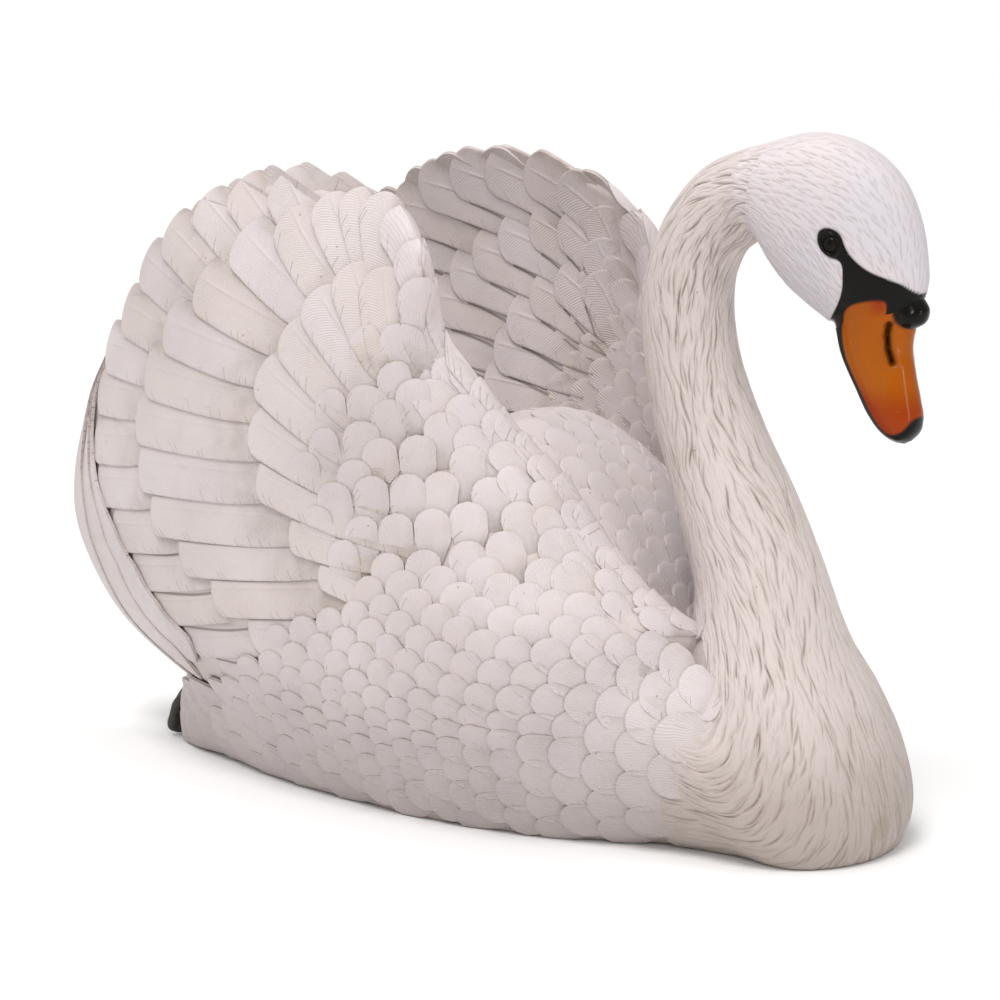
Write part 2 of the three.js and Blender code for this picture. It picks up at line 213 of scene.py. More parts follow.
INNER_TIER = [
    [-38, 424, 108, 96, 44, -0.1], [-68, 424, 124, 112, 48, -0.12],
    [-94, 403, 135, 130, 48, -0.11], [-113, 376, 142, 128, 48, -0.08],
    [-134, 344, 151, 145, 50, -0.08], [-138, 302, 160, 135, 48, -0.05],
    [-128, 266, 166, 150, 46, -0.02], [-95, 226, 172, 95, 38, -0.05],
    [-66, 200, 166, 70, 32, -0.03],
]
HOLLOW_TIER = [
    [-50, 444, 112, 60, 36], [-84, 464, 148, 72, 42], [-132, 472, 160, 105, 44],
    [-188, 468, 166, 120, 46], [-236, 446, 171, 125, 46], [-280, 408, 176, 130, 46],
    [-318, 358, 180, 135, 46], [-344, 303, 184, 135, 46], [-350, 253, 187, 135, 46],
    [-338, 208, 189, 125, 44], [-320, 168, 191, 120, 44], [-294, 130, 193, 110, 42],
    [-260, 100, 196, 95, 38],
]
SECOND_HOLLOW_TIER = [
    [-54, 418, 112, 58, 36], [-90, 432, 150, 80, 42], [-134, 424, 162, 100, 44],
    [-180, 400, 170, 115, 46], [-216, 364, 176, 120, 46], [-240, 318, 181, 120, 46],
    [-247, 272, 185, 120, 46], [-236, 230, 188, 110, 44], [-214, 190, 191, 105, 42],
    [-186, 154, 194, 95, 40],
]
THIRD_HOLLOW_TIER = [
    [-58, 390, 122, 62, 36], [-96, 386, 154, 80, 42], [-132, 360, 167, 90, 44],
    [-155, 322, 175, 95, 44], [-162, 284, 182, 95, 42], [-152, 246, 187, 90, 40],
    [-134, 212, 190, 85, 38], [-112, 184, 194, 75, 34],
]

# Strips along a wing's rear edge: [share at the outer side, at the inner side, height in mm].
PRIMARY_STRIPS = [
    [0.01, 0.42, -2.6],
    [0.36, 0.78, -1.7],
    [0.72, 1.06, -0.4],
]

# Big feathers over the top of a wing's front edge: [row of the edge table at the tip, way over the
# edge, length, width], the last three in mm.
CREST_FEATHERS = [
    [6.3, 17, 80, 36],
    [7.05, 16, 84, 38],
    [7.8, 15, 84, 38],
    [7.05, -15, 78, 38],
    [7.75, -12, 84, 38],
    [8.6, -11, 90, 38],
]

# Where the scallops of a flank and of the hollow lie, [x, z] in mm.
FLANK_OUTLINE = [
    [-14, 412], [-28, 408], [-46, 390], [-62, 358], [-77, 322], [-85, 290], [-83, 262], [-72, 238],
    [-58, 206], [-96, 168], [-140, 130], [-190, 92], [-240, 66], [-292, 54], [-322, 34], [-322, 6],
    [0, 4], [150, 4], [168, 8], [180, 50], [182, 72], [190, 100], [202, 124], [190, 140],
    [143, 180], [106, 214], [76, 258], [46, 290], [18, 330], [-8, 372],
]
HOLLOW_OUTLINE = [
    [-46, 424], [-66, 416], [-84, 392], [-92, 350], [-96, 300], [-84, 262], [-60, 240], [30, 226],
    [78, 212], [56, 248], [27, 280], [1, 320], [-27, 364], [-34, 408],
]

# How a flank's scallops turn with height above a line that rises 1 in 4: [height in m, degrees].
FLANK_TURNS = [
    (0, 188), (0.045, 184), (0.08, 157), (0.11, 140), (0.15, 126), (0.20, 112), (0.26, 102),
]

# The part of the head's side above the bill's lower edge, [x, z] in mm.
BILL_ABOVE_EDGE = [[260, 380], [318, 305], [360, 305], [360, 440], [260, 440]]

# Outlines in paint on the side of the head, [x, z] in mm.
MASK_OUTLINE = [
    [266, 459], [270, 464], [277, 465], [285, 461], [288, 452], [293, 445], [301, 438], [308, 434],
    [316, 431], [323, 428], [330, 425], [338, 422], [346, 421], [346, 300], [250, 370], [262, 393],
    [270.7, 400], [279.3, 410], [284.5, 420.6], [285.6, 429], [286.2, 438], [283, 442], [275, 443],
    [268, 449],
]
ORANGE_OUTLINE = [
    [279, 397], [282, 402.7], [289, 409.5], [298, 412.5], [308.6, 415.2], [316.6, 416],
    [318, 409], [318.7, 402], [320.8, 397.5], [325, 393], [345, 393], [345, 333], [338, 332],
    [333, 331], [330, 325.5], [327, 321], [321, 318], [315, 317.5], [306, 325], [299, 336],
    [290.5, 349], [281.5, 364], [277.5, 377], [277, 389],
]

# ---------------------------------------------------------------- curves and lofted bodies


def in_metres(rows, lengths):
    """Table rows in mm as an array in metres; lengths counts the leading columns of length."""
    table = np.array(rows, float)
    table[:, :lengths] *= MM
    return table


def smooth_rows(rows, knots, at):
    """Rows of a table at the places `at`: cubic Hermite pieces whose slope at a row is the mean of
    the two chords that meet there."""
    chord = np.diff(rows, axis=0) / np.diff(knots)[:, None]
    slope = np.vstack([chord[:1], (chord[:-1] + chord[1:]) / 2, chord[-1:]])
    i = np.clip(np.searchsorted(knots, at, side="right") - 1, 0, len(rows) - 2)
    span = (knots[i + 1] - knots[i])[..., None]
    t = np.asarray(at - knots[i])[..., None] / span
    return (
        (2 * t**3 - 3 * t**2 + 1) * rows[i] + (t**3 - 2 * t**2 + t) * span * slope[i]
        + (3 * t**2 - 2 * t**3) * rows[i + 1] + (t**3 - t**2) * span * slope[i + 1]
    )


def smoothstep(low, high, value):
    """0 below low, 1 above high and 3t^2 - 2t^3 between."""
    t = np.clip((value - low) / (high - low), 0, 1)
    return t * t * (3 - 2 * t)


def signed_power(value, power):
    return np.sign(value) * np.abs(value) ** power


def bell(value, width):
    """exp(-(value / width)^2)."""
    return np.exp(-((value / width) ** 2))


def unit(vectors):
    return vectors / np.maximum(np.linalg.norm(vectors, axis=-1, keepdims=True), 1e-12)


def grid(rows, columns):
    """Two arrays with the row's and the column's value at every point of a grid."""
    return np.meshgrid(rows, columns, indexing="ij")


def once_round(count):
    """Evenly spaced turns once round."""
    return np.arange(count) * 2 * np.pi / count


def between_points(table, i, j):
    """A table's value at rows i and columns j, read between its points. Columns run on past the
    last to the first."""
    i0, j0 = np.floor(i).astype(int), np.floor(j).astype(int)
    u, v = i - i0, j - j0
    left, right = j0 % table.shape[1], (j0 + 1) % table.shape[1]
    return (
        table[i0, left] * (1 - u) * (1 - v) + table[i0 + 1, left] * u * (1 - v)
        + table[i0, right] * (1 - u) * v + table[i0 + 1, right] * u * v
    )


def run_along(points):
    """Distance run along a line of places, counted from the first."""
    return np.concatenate([[0], np.cumsum(np.hypot(*np.diff(points, axis=0).T))])


def slice_knots(slices):
    """Knots grow with the way a slice's middle moves and a quarter of the way its belly moves."""
    step = np.diff(slices, axis=0)
    middle = np.hypot(step[:, 0] + step[:, 2], step[:, 1] + step[:, 3]) / 2
    belly = np.hypot(step[:, 2], step[:, 3]) / 4
    return np.concatenate([[0], np.cumsum(middle + belly)])


def neck_slices():
    """Each neck ring as a round slice across the leaning axis."""
    x, z, radius, lean = in_metres(NECK_RINGS, 3).T
    along = radius * -np.sin(np.radians(lean)), radius * np.cos(np.radians(lean))
    back = x + along[0], z + along[1]
    belly = x - along[0], z - along[1]
    return np.stack([*back, *belly, radius, np.full(len(x), 2.0)], 1)


class Loft:
    """A body lofted through slices: place(s, turn) is the point at knot distance s, at an angle
    `turn` round from the back. The outline of a slice is the superellipse
    middle + up * sgn(cos)|cos|^(2/n) * half depth, y = sgn(sin)|sin|^(2/n) * half width."""

    def __init__(self, slices):
        self.slices = slices
        self.knots = slice_knots(slices)
        self.end = self.knots[-1]

    def place(self, s, turn):
        row = smooth_rows(self.slices, self.knots, s)
        back_x, back_z, belly_x, belly_z, half_width, squareness = np.moveaxis(row, -1, 0)
        mid_x, mid_z = (back_x + belly_x) / 2, (back_z + belly_z) / 2
        half_depth = np.hypot(back_x - belly_x, back_z - belly_z) / 2
        up_x, up_z = (back_x - mid_x) / half_depth, (back_z - mid_z) / half_depth
        rise = signed_power(np.cos(turn), 2 / squareness) * half_depth
        side = signed_power(np.sin(turn), 2 / squareness) * half_width
        return np.stack([mid_x + up_x * rise, side, mid_z + up_z * rise], -1)


NECK_START = len(TRUNK_SLICES)
HEAD_START = NECK_START + len(NECK_RINGS)
BODY = Loft(np.vstack([
    in_metres(TRUNK_SLICES, SLICE_LENGTHS), neck_slices(), in_metres(HEAD_SLICES, SLICE_LENGTHS),
]))
BILL = Loft(in_metres(BILL_SLICES, SLICE_LENGTHS))
TAIL = Loft(in_metres(TAIL_SLICES, SLICE_LENGTHS))
FOOT = Loft(in_metres(FOOT_SLICES, SLICE_LENGTHS))


def on_surface(place, a, b, outward=1):
    """Point, outward unit normal and the two stretches (metres per unit of a and b) of a surface
    place(a, b), from differences over half a millimetre."""
    step = 0.5 * MM
    along_a = (place(a + step, b) - place(a - step, b)) / (2 * step)
    along_b = (place(a, b + step) - place(a, b - step)) / (2 * step)
    normal = unit(np.cross(along_a, along_b)) * outward
    return place(a, b), normal, along_a, along_b


# ---------------------------------------------------------------- wings


def edge_table():
    """The wing's edge, closed on itself, and the knots along it: chord length in x and z."""
    edge = in_metres(WING_EDGE, EDGE_LENGTHS)
    edge = np.vstack([edge, edge[:1]])
    return edge, run_along(edge[:, :2])


EDGE, EDGE_KNOTS = edge_table()
RIM_SAMPLES = 4000
RIM = smooth_rows(EDGE, EDGE_KNOTS, np.linspace(0, EDGE_KNOTS[-1], RIM_SAMPLES))
RIM_ARC = run_along(RIM[:, :2])
RIM_ANGLE = np.unwrap(np.arctan2(RIM[:, 1] - WING_HUB[1], RIM[:, 0] - WING_HUB[0]))
RIM_REACH = np.hypot(RIM[:, 0] - WING_HUB[0], RIM[:, 1] - WING_HUB[1])


def hub_angle(x, z):
    """Bearing of a place from the hub, on the turn that RIM_ANGLE covers."""
    angle = np.arctan2(z - WING_HUB[1], x - WING_HUB[0])
    return RIM_ANGLE[0] + (angle - RIM_ANGLE[0]) % (2 * np.pi)


def moved_in(x, z, inset):
    """Places moved towards the hub by a distance."""
    share = 1 - inset / np.hypot(x - WING_HUB[0], z - WING_HUB[1])
    return WING_HUB[0] + (x - WING_HUB[0]) * share, WING_HUB[1] + (z - WING_HUB[1]) * share


def on_side(side, x, y, z):
    """Places in a wing's own measures, carried to its side of the bird."""
    shift = WING_SHIFT[side]
    return np.stack([x + shift[0], side * y + shift[1], z + shift[2]], -1)


def side_shift(side):
    """How far a wing stands forward and up."""
    return np.array(WING_SHIFT[side])[[0, 2]]


def wing_polar(x, z):
    """Share of the way from the hub to the edge, the edge's distance from the symmetry plane, its
    thickness and its fullness, and the reach of the edge, for places in the wing's own plane."""
    angle = hub_angle(x, z)
    whole = np.interp(angle, RIM_ANGLE, RIM_REACH)
    y, thickness, fullness = (np.interp(angle, RIM_ANGLE, RIM[:, k]) for k in (2, 3, 4))
    return np.hypot(x - WING_HUB[0], z - WING_HUB[1]) / whole, y, thickness, fullness, whole


CELL, GRID_LOW, GRID_HIGH = 1.5 * MM, (-0.45, -0.02), (0.35, 0.55)
GRID_SHAPE = [int((high - low) / CELL) + 1 for low, high in zip(GRID_LOW, GRID_HIGH)]
GRID_X = GRID_LOW[0] + np.arange(GRID_SHAPE[0])[:, None] * CELL
GRID_Z = GRID_LOW[1] + np.arange(GRID_SHAPE[1])[None, :] * CELL


def blurred(table, reach):
    """The mean over a square of cells, reach cells each way."""
    for axis in (0, 1):
        edges = [(reach + 1, reach) if k == axis else (0, 0) for k in (0, 1)]
        total = np.cumsum(np.pad(table, edges, mode="edge"), axis=axis)
        count = total.shape[axis]
        ends = [np.take(total, np.arange(first, first + count - 2 * reach - 1), axis)
                for first in (0, 2 * reach + 1)]
        table = (ends[1] - ends[0]) / (2 * reach + 1)
    return table


def read_grid(table, x, z):
    """A grid's value at places, read between its points."""
    i = np.clip((x - GRID_LOW[0]) / CELL, 0, table.shape[0] - 1.001)
    k = np.clip((z - GRID_LOW[1]) / CELL, 0, table.shape[1] - 1.001)
    return between_points(table, i, k)


def neighbours(table, mode):
    """The sum of every cell's four neighbours; mode says how np.pad goes on beyond the grid."""
    pad = np.pad(table, 1, mode=mode)
    return pad[:-2, 1:-1] + pad[2:, 1:-1] + pad[1:-1, :-2] + pad[1:-1, 2:]


def outer_grid():
    """Distance of a wing's outer face from the symmetry plane, which is
    hub + (edge - hub) * reach ^ fullness, with the fold from hub to shoulder smoothed out."""
    reach, y, _, fullness, _ = wing_polar(GRID_X, GRID_Z)
    width = WING_HUB_Y + (y - WING_HUB_Y) * np.clip(reach, 0, 1.06) ** fullness
    soft = blurred(blurred(width, 10), 10)
    fold = 1 - smoothstep(26 * MM, 58 * MM, np.abs(GRID_Z - 168 * MM))
    return width + (soft - width) * fold * smoothstep(0, 60 * MM, GRID_X)


OUTER_GRID = outer_grid()


def outer_width(x, z):
    """Distance of the wing's outer face from the symmetry plane."""
    return read_grid(OUTER_GRID, np.asarray(x), np.asarray(z))


def inner_width(x, z):
    """The outer face less the thickness, which grows from the edge's to the hub's."""
    reach, _, thickness, _, _ = wing_polar(x, z)
    depth = thickness + (WING_ROOT_THICKNESS - thickness) * np.clip(1 - reach, 0, 1) ** WING_TAPER
    return outer_width(x, z) - depth


def wing_face(side, inner):
    """place(x, z) of a wing's outer or inner face, at its own side of the bird."""
    width = inner_width if inner else outer_width
    shift = WING_SHIFT[side]

    def place(x, z):
        return np.stack([x, side * width(x - shift[0], z - shift[2]) + shift[1], z], -1)

    return place, side if inner else -side


class Flank:
    """A side of the whole bird over the x-z plane: the wider of the trunk and the wing, rounded
    into each other, held on a grid and read between its points."""

    ROUNDING = 4 * MM

    def __init__(self, side):
        self.side = side
        trunk = self.filled(self.trunk_width())
        for _ in range(3):
            trunk = neighbours(trunk, "edge") / 4
        shift = WING_SHIFT[side]
        wing = outer_width(GRID_X - shift[0], GRID_Z - shift[2]) + side * shift[1]
        gap = wing - trunk
        width = (wing + trunk + np.sqrt(gap**2 + self.ROUNDING**2)) / 2
        for reach in (9, 9, 6, 6, 4, 4, 2, 2):
            width = np.maximum(width, blurred(width, reach))
        self.width = width

    @staticmethod
    def trunk_width():
        """Widest point of a dense sampling of the loft in every cell."""
        s, turn = grid(np.linspace(0, BODY.knots[NECK_START + 1], 1500), np.linspace(0, np.pi, 700))
        point = BODY.place(s, turn).reshape(-1, 3)
        i = np.round((point[:, 0] - GRID_LOW[0]) / CELL).astype(int)
        k = np.round((point[:, 2] - GRID_LOW[1]) / CELL).astype(int)
        width = np.full(GRID_SHAPE, -1.0)
        ok = (k >= 0) & (i >= 0) & (i < GRID_SHAPE[0]) & (k < GRID_SHAPE[1])
        np.maximum.at(width, (i[ok], k[ok]), point[ok, 1])
        return width

    @staticmethod
    def filled(width):
        """Cells that no sample met take the mean of their neighbours less 1 mm, ring by ring."""
        for _ in range(40):
            empty = width < -0.5
            if not empty.any():
                break
            total = neighbours(np.where(empty, 0, width), "constant")
            seen = neighbours((~empty).astype(float), "constant")
            width = np.where(empty & (seen > 0), total / np.maximum(seen, 1) - 1 * MM, width)
        return np.maximum(width, 0)

    def place(self, x, z):
        return np.stack([x, self.side * read_grid(self.width, x, z), z], -1)


# ---------------------------------------------------------------- meshes


def oriented(points, faces):
    """The face arrays, turned round if the closed mesh they make encloses a negative volume."""
    volume = 0.0
    for group in faces:
        group = np.asarray(group)
        for k in range(1, group.shape[1] - 1):
            a, b, c = points[group[:, 0]], points[group[:, k]], points[group[:, k + 1]]
            volume += float((a * np.cross(b, c)).sum())
    return [np.asarray(g)[:, ::-1] if volume < 0 else np.asarray(g) for g in faces]


def above_ground(points):
    """Points, with heights below 1.2 mm pressed together above the ground: the base is cut flat."""
    flat = 1.2 * MM
    points = np.array(points, float)
    z = points[..., 2]
    points[..., 2] = np.where(z < flat, flat * np.exp(np.minimum(z - flat, 0) / (8 * MM)), z)
    return points


def make_piece(name, points, faces, material, maps, values, sharp):
    """A closed mesh piece from points (n, 3) and a list of face arrays, riding on the statue. maps
    holds its UV maps by name and values its float attributes, both one entry to a point. Edges are
    sharp above an angle in degrees."""
    faces = oriented(points - points.mean(0), faces)
    corners = np.concatenate([group.reshape(-1) for group in faces]).astype(np.int32)
    sizes = np.concatenate([np.full(len(group), group.shape[1]) for group in faces])
    starts = np.concatenate([[0], np.cumsum(sizes)[:-1]]).astype(np.int32)
    mesh = bpy.data.meshes.new(name)
    mesh.vertices.add(len(points))
    mesh.loops.add(len(corners))
    mesh.polygons.add(len(starts))
    mesh.vertices.foreach_set("co", np.ascontiguousarray(points, np.float32).reshape(-1))
    mesh.loops.foreach_set("vertex_index", corners)
    mesh.polygons.foreach_set("loop_start", starts)
    mesh.polygons.foreach_set("use_smooth", np.ones(len(starts), bool))
    for label, uv in maps.items():
        layer = mesh.uv_layers.new(name=label)
        layer.data.foreach_set("uv", np.asarray(uv, np.float32)[corners].reshape(-1))
    for label, value in values.items():
        layer = mesh.attributes.new(label, "FLOAT", "POINT")
        layer.data.foreach_set("value", np.asarray(value, np.float32).reshape(-1))
    mesh.update(calc_edges=True)
    mesh.validate()
    mesh.set_sharp_from_angle(angle=math.radians(sharp))
    mesh.materials.append(material)
    piece = bpy.data.objects.new(name, mesh)
    bpy.context.scene.collection.objects.link(piece)
    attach(piece, "root")
    return piece


def grid_faces(rows, columns, around):
    """Quads of a grid of points listed row by row. If around, the last column joins the first."""
    i, j = grid(np.arange(rows - 1), np.arange(columns if around else columns - 1))
    right = (j + 1) % columns
    here, below = i * columns, (i + 1) * columns
    return np.stack([here + j, here + right, below + right, below + j], -1).reshape(-1, 4)


def tube_piece(name, rings, material, values=None, sharp=40):
    """A closed body from rings (rows, columns, 3), each end closed by a fan round its middle."""
    rows, columns = rings.shape[:2]
    points = np.vstack([rings.reshape(-1, 3), rings[0].mean(0), rings[-1].mean(0)])
    j = np.arange(columns)
    right = (j + 1) % columns
    last_row = (rows - 1) * columns
    first_pole, last_pole = rows * columns, rows * columns + 1
    caps = np.vstack([
        np.stack([np.full(columns, first_pole), right, j], 1),
        np.stack([np.full(columns, last_pole), last_row + j, last_row + right], 1),
    ])
    along, round_ = grid(np.linspace(0, 1, rows), j / columns)
    flat = np.stack([round_.reshape(-1), along.reshape(-1)], 1)
    flat = 0.01 + 0.98 * np.vstack([flat, [[0.5, 0.0], [0.5, 1.0]]])
    held = {
        label: np.concatenate([np.asarray(value).reshape(-1), [0.0, 0.0]])
        for label, value in (values or {}).items()
    }
    maps = {"lie": flat, "OFBake": flat}
    return make_piece(name, points, [grid_faces(rows, columns, True), caps], material, maps,
                      held, sharp)


# ---------------------------------------------------------------- vanes

ROUND_COLUMNS = np.sin(np.radians([-90, -76, -52, -27, 0, 27, 52, 76, 90]))
SCALLOP_ROWS = np.array([0, 0.5, 0.85, 0.98, 1])
PATCH = 0.003                              # size of one vane on the bake map
MOST_GAP = 9.0                             # mm, the bounds of what a vane carries as its gap
# Painted shade on the rims and undersides of vanes.
RIM_SHADE, UNDER_SHADE = 0.55, 0.4


class Vanes:
    """Many feathers of one kind, each a thin closed solid laid on a surface.

    A vane is a grid: t runs 0 to 1 from root to tip and w from -1 at its free edge to 1 at the edge
    tucked under its neighbour. Across, it is w * half width; along, t * length less a rounding of
    the tip, round * half width * (1 - sqrt(1 - w^2)) * t^2. Its height over the surface is
    root + (tip - root) * t^1.2 - tilt * w + camber * (1 - w^2), less a bevel at the rim, and a
    ridge of two fine lines where the shaft is."""

    def __init__(self, face, rows=SCALLOP_ROWS, columns=ROUND_COLUMNS, **heights):
        self.place, self.outward = face
        self.rows, self.columns = np.asarray(rows, float), np.asarray(columns, float)
        self.heights = {
            "root": -2.9 * MM, "tip": -0.6 * MM, "tilt": 0.0, "camber": 0.5 * MM, "bevel": 0.3 * MM,
            "thickness": 2.6 * MM, "shaft": 0.0, "waist": 0.55, "round": (1.0, 1.0), "spread": 0.2,
            "root_shade": 0.7, "edge_shade": 0.7, "mosaic": 1.0, "dive": 0.0, "hand": 1,
        }
        self.heights.update(heights)
        self.parts = []

    def lay(self, tip, heading, length, width, bend=0.0, seed=0, rounds=None, lapped=False):
        """Lays vanes by where their tips are, in the surface's own two coordinates. A vane's width
        runs square to its length on the surface itself. rounds holds the rounding of the free and
        of the tucked corner of every vane. If lapped, each is covered by the one before it, and
        carries how far it reaches under that one's free edge, in mm."""
        h = self.heights
        random = np.random.default_rng(seed)
        count = len(tip)
        length, width, bend = (
            np.broadcast_to(v, count).astype(float)[:, None, None] for v in (length, width, bend))
        along = np.stack([np.cos(heading), np.sin(heading)], 1)
        _, _, da, db = on_surface(self.place, tip[:, 0], tip[:, 1])
        ahead = da * along[:, :1] + db * along[:, 1:]
        across = unit(np.stack([-(db * ahead).sum(1), (da * ahead).sum(1)], 1))
        side = np.where(along[:, 0] < 0, -1.0, 1.0) * h["hand"]
        stretch = [
            np.maximum(np.linalg.norm(da * v[:, :1] + db * v[:, 1:], axis=1), 1e-6)[:, None, None]
            for v in (along, across)
        ]
        t, w = grid(self.rows, self.columns)
        t, w = t[None], w[None]
        half = width / 2
        waist = h["waist"] + (1 - h["waist"]) * smoothstep(0, 0.45, t)
        corners = h["round"] if rounds is None else [v[:, None, None] for v in rounds]
        rounding = np.where(w < 0, corners[0], corners[1]) * half * (1 - np.sqrt(1 - w**2))
        run = length * (t - 1) - rounding * t**2
        off = w * half * waist * side[:, None, None] + bend * length * (t - 1) ** 2
        a, b = (
            tip[:, k, None, None] + along[:, k, None, None] * run / stretch[0]
            + across[:, k, None, None] * off / stretch[1] for k in (0, 1)
        )
        point, normal, _, _ = on_surface(self.place, a, b, self.outward)
        rim = (np.abs(w) > 0.999) | (t > 0.999)
        lift = h["root"] + (h["tip"] - h["root"]) * t**1.2 - h["tilt"] * w
        lift = lift + h["camber"] * (1 - w**2) * t
        lift = lift - h["bevel"] * rim - h["dive"] * (1 - smoothstep(0, 0.12, t))
        shaft = bell(w - 0.12, 0.05) - 0.6 * bell(w - 0.12, 0.14)
        lift = lift + h["shaft"] * shaft * smoothstep(1.0, 0.85, t)
        lift = lift + random.uniform(-1, 1, count)[:, None, None] * h["spread"] * MM
        # Painted shade: darker towards the tucked edge, at the root and on the rim, where
        # neighbours and the step cast shade.
        shade_and_grime = smoothstep(0.35, 1.0, w) * h["edge_shade"]
        shade_and_grime = shade_and_grime + smoothstep(0.62, 0.1, t) * h["root_shade"] + np.where(rim, RIM_SHADE, 0.0)
        # The gap feeds the painted shadow line under the neighbour's free edge.
        gap = np.full(lift.shape, -MOST_GAP)
        for k in range(1, count if lapped else 0):
            before = np.stack([a[k - 1, :, 0] - tip[k, 0], b[k - 1, :, 0] - tip[k, 1]], -1)
            before = before * stretch[0][k, 0, 0]
            u, v = before @ along[k], before @ across[k] * side[k]
            order = np.argsort(u)
            own = w[0] * half[k] * waist[0]
            gap[k] = (own - np.interp(run[k], u[order], v[order], right=1.0)) / MM
        middle = len(self.columns) // 2
        self.parts.append({
            "top": above_ground(point + normal * lift[..., None]),
            "under": above_ground(point + normal * (lift[..., None] - h["thickness"])),
            "gap": np.clip(gap, -MOST_GAP, MOST_GAP),
            "lie": np.stack(np.broadcast_arrays(0.5 + w * half * 5, length * t * 5), -1),
            "shade_and_grime": np.broadcast_to(np.clip(shade_and_grime, 0, 1), lift.shape),
            "seed": np.broadcast_to(h["mosaic"] * random.random(count)[:, None, None], lift.shape),
            "edge": np.broadcast_to((w + 1) * half, lift.shape),
            "root": np.stack([a[:, 0, middle], b[:, 0, middle]], 1),
        })

    def rim_order(self):
        """The grid's edge points in order, once round."""
        rows, columns = len(self.rows), len(self.columns)
        order = np.arange(rows * columns).reshape(rows, columns)
        return np.concatenate([order[0, :-1], order[:-1, -1], order[-1, :0:-1], order[:0:-1, 0]])

    def piece(self, name, material):
        """One mesh of all the vanes laid so far. The underside is a strip from edge to edge for
        every row, and one many-sided face at each end."""
        stacked = {k: np.concatenate([part[k] for part in self.parts]) for k in self.parts[0]}
        count, rows, columns = stacked["top"].shape[:3]
        rim = self.rim_order()
        n = len(rim)

        def with_rim(key, *ends):
            flat = stacked[key].reshape(count, -1, *ends)
            under = stacked["under"].reshape(count, -1, 3) if key == "top" else flat
            return flat, under[:, rim]

        points = np.concatenate(with_rim("top", 3), 1).reshape(-1, 3)
        start = (np.arange(count) * (rows * columns + n))[:, None, None]
        base = rows * columns + np.arange(n)
        walls = np.stack([rim, np.roll(rim, -1), np.roll(base, -1), base], 1)[:, ::-1]
        right, left = columns - 1 + np.arange(rows), (n - np.arange(rows)) % n
        left[-1] = n - rows + 1
        strips = np.stack([right[1:-2], left[1:-2], left[2:-1], right[2:-1]], 1)
        root_end = np.concatenate([np.arange(columns + 1), [n - 1]])
        tip_end = np.arange(right[-2], left[-2] + 1)
        own = [grid_faces(rows, columns, False), walls]
        own += [base[group] for group in (strips, root_end[None], tip_end[None])]
        faces = [(start + group[None]).reshape(-1, group.shape[-1]) for group in own]
        root = stacked["root"]
        t, w = grid(self.rows, (self.columns + 1) / 2)
        corner = 0.01 + 0.97 * (root - root.min(0)) / (np.ptp(root, axis=0) + 1e-9)
        patch = corner[:, None, :] + PATCH * np.stack([t.reshape(-1), w.reshape(-1)], 1)[None]
        maps = {
            "lie": np.concatenate(with_rim("lie", 2), 1).reshape(-1, 2),
            "OFBake": np.concatenate([patch, patch[:, rim]], 1).reshape(-1, 2),
        }
        values = {}
        for label in ("shade_and_grime", "seed", "edge", "gap"):
            flat, under = with_rim(label)
            under = np.full_like(under, UNDER_SHADE) if label == "shade_and_grime" else under
            values[label] = np.concatenate([flat, under], 1).reshape(-1)
        return make_piece(name, points, faces, material, maps, values, sharp=50)


def inside(outline, x, z):
    """True for places inside a closed outline, by counting the edges that a ray along +X meets."""
    ring = np.asarray(outline, float)
    found = np.zeros(np.shape(x), bool)
    for (x0, z0), (x1, z1) in zip(ring, np.roll(ring, -1, axis=0)):
        crosses = (z0 > z) != (z1 > z)
        at = x0 + (z - z0) * (x1 - x0) / (z1 - z0 if z1 != z0 else 1.0)
        found ^= crosses & (x < at)
    return found


def kept_in(outline, places):
    """Which places lie inside a closed outline in mm."""
    return inside(np.array(outline) * MM, *places.T)


def line_distance(line, x, z):
    """Distance to a line of straight runs."""
    nearest = np.full(np.shape(x), np.inf)
    for (x0, z0), (x1, z1) in zip(line[:-1], line[1:]):
        dx, dz = x1 - x0, z1 - z0
        share = np.clip(((x - x0) * dx + (z - z0) * dz) / (dx * dx + dz * dz), 0, 1)
        nearest = np.minimum(nearest, np.hypot(x - x0 - share * dx, z - z0 - share * dz))
    return nearest


def distance_inside(outline, x, z):
    """Distance to a closed outline, positive inside it and negative outside."""
    nearest = line_distance(np.vstack([outline, outline[:1]]), x, z)
    return np.where(inside(outline, x, z), nearest, -nearest)


def courses(place, rays, size, seed, pitch=0.92):
    """Staggered places on a surface, in courses across a fan of rays, evenly spaced on the surface
    itself. rays (steps, number of rays, 2) are places in the surface's two coordinates; size is the
    width of a scallop at each of them. Courses stand pitch * size apart along the rays and the
    scallops one size apart along a course, less or more 0.06. Gives places, headings along the
    rays, and sizes."""
    random = np.random.default_rng(seed)
    point = place(rays[..., 0], rays[..., 1])
    way = np.linalg.norm(np.diff(point, axis=0), axis=-1) / ((size[1:] + size[:-1]) / 2)
    way = np.vstack([np.zeros(rays.shape[1]), np.cumsum(way, axis=0)])
    heading = np.gradient(rays, axis=0)
    held = np.concatenate([rays, heading, size[..., None], point], -1)
    found = []
    for k, level in enumerate(np.arange(0.3, way[-1].max(), pitch)):
        step = (way <= level).sum(0) - 1
        ok = np.flatnonzero(step < len(way) - 1)
        if len(ok) < 2:
            continue
        low, high = way[step[ok], ok], way[step[ok] + 1, ok]
        share = ((level - low) / (high - low))[:, None]
        line = held[step[ok], ok] * (1 - share) + held[step[ok] + 1, ok] * share
        gap = np.linalg.norm(np.diff(line[:, 5:], axis=0), axis=1)
        arc = np.concatenate([[0], np.cumsum(gap / ((line[1:, 4] + line[:-1, 4]) / 2))])
        at = np.arange(0.25 + 0.5 * (k % 2), arc[-1], 1.0)
        at = at + random.uniform(-0.06, 0.06, len(at))
        found.append(np.stack([np.interp(at, arc, line[:, c]) for c in range(5)], 1))
    found = np.concatenate(found)
    return found[:, :2], np.arctan2(found[:, 3], found[:, 2]), found[:, 4]


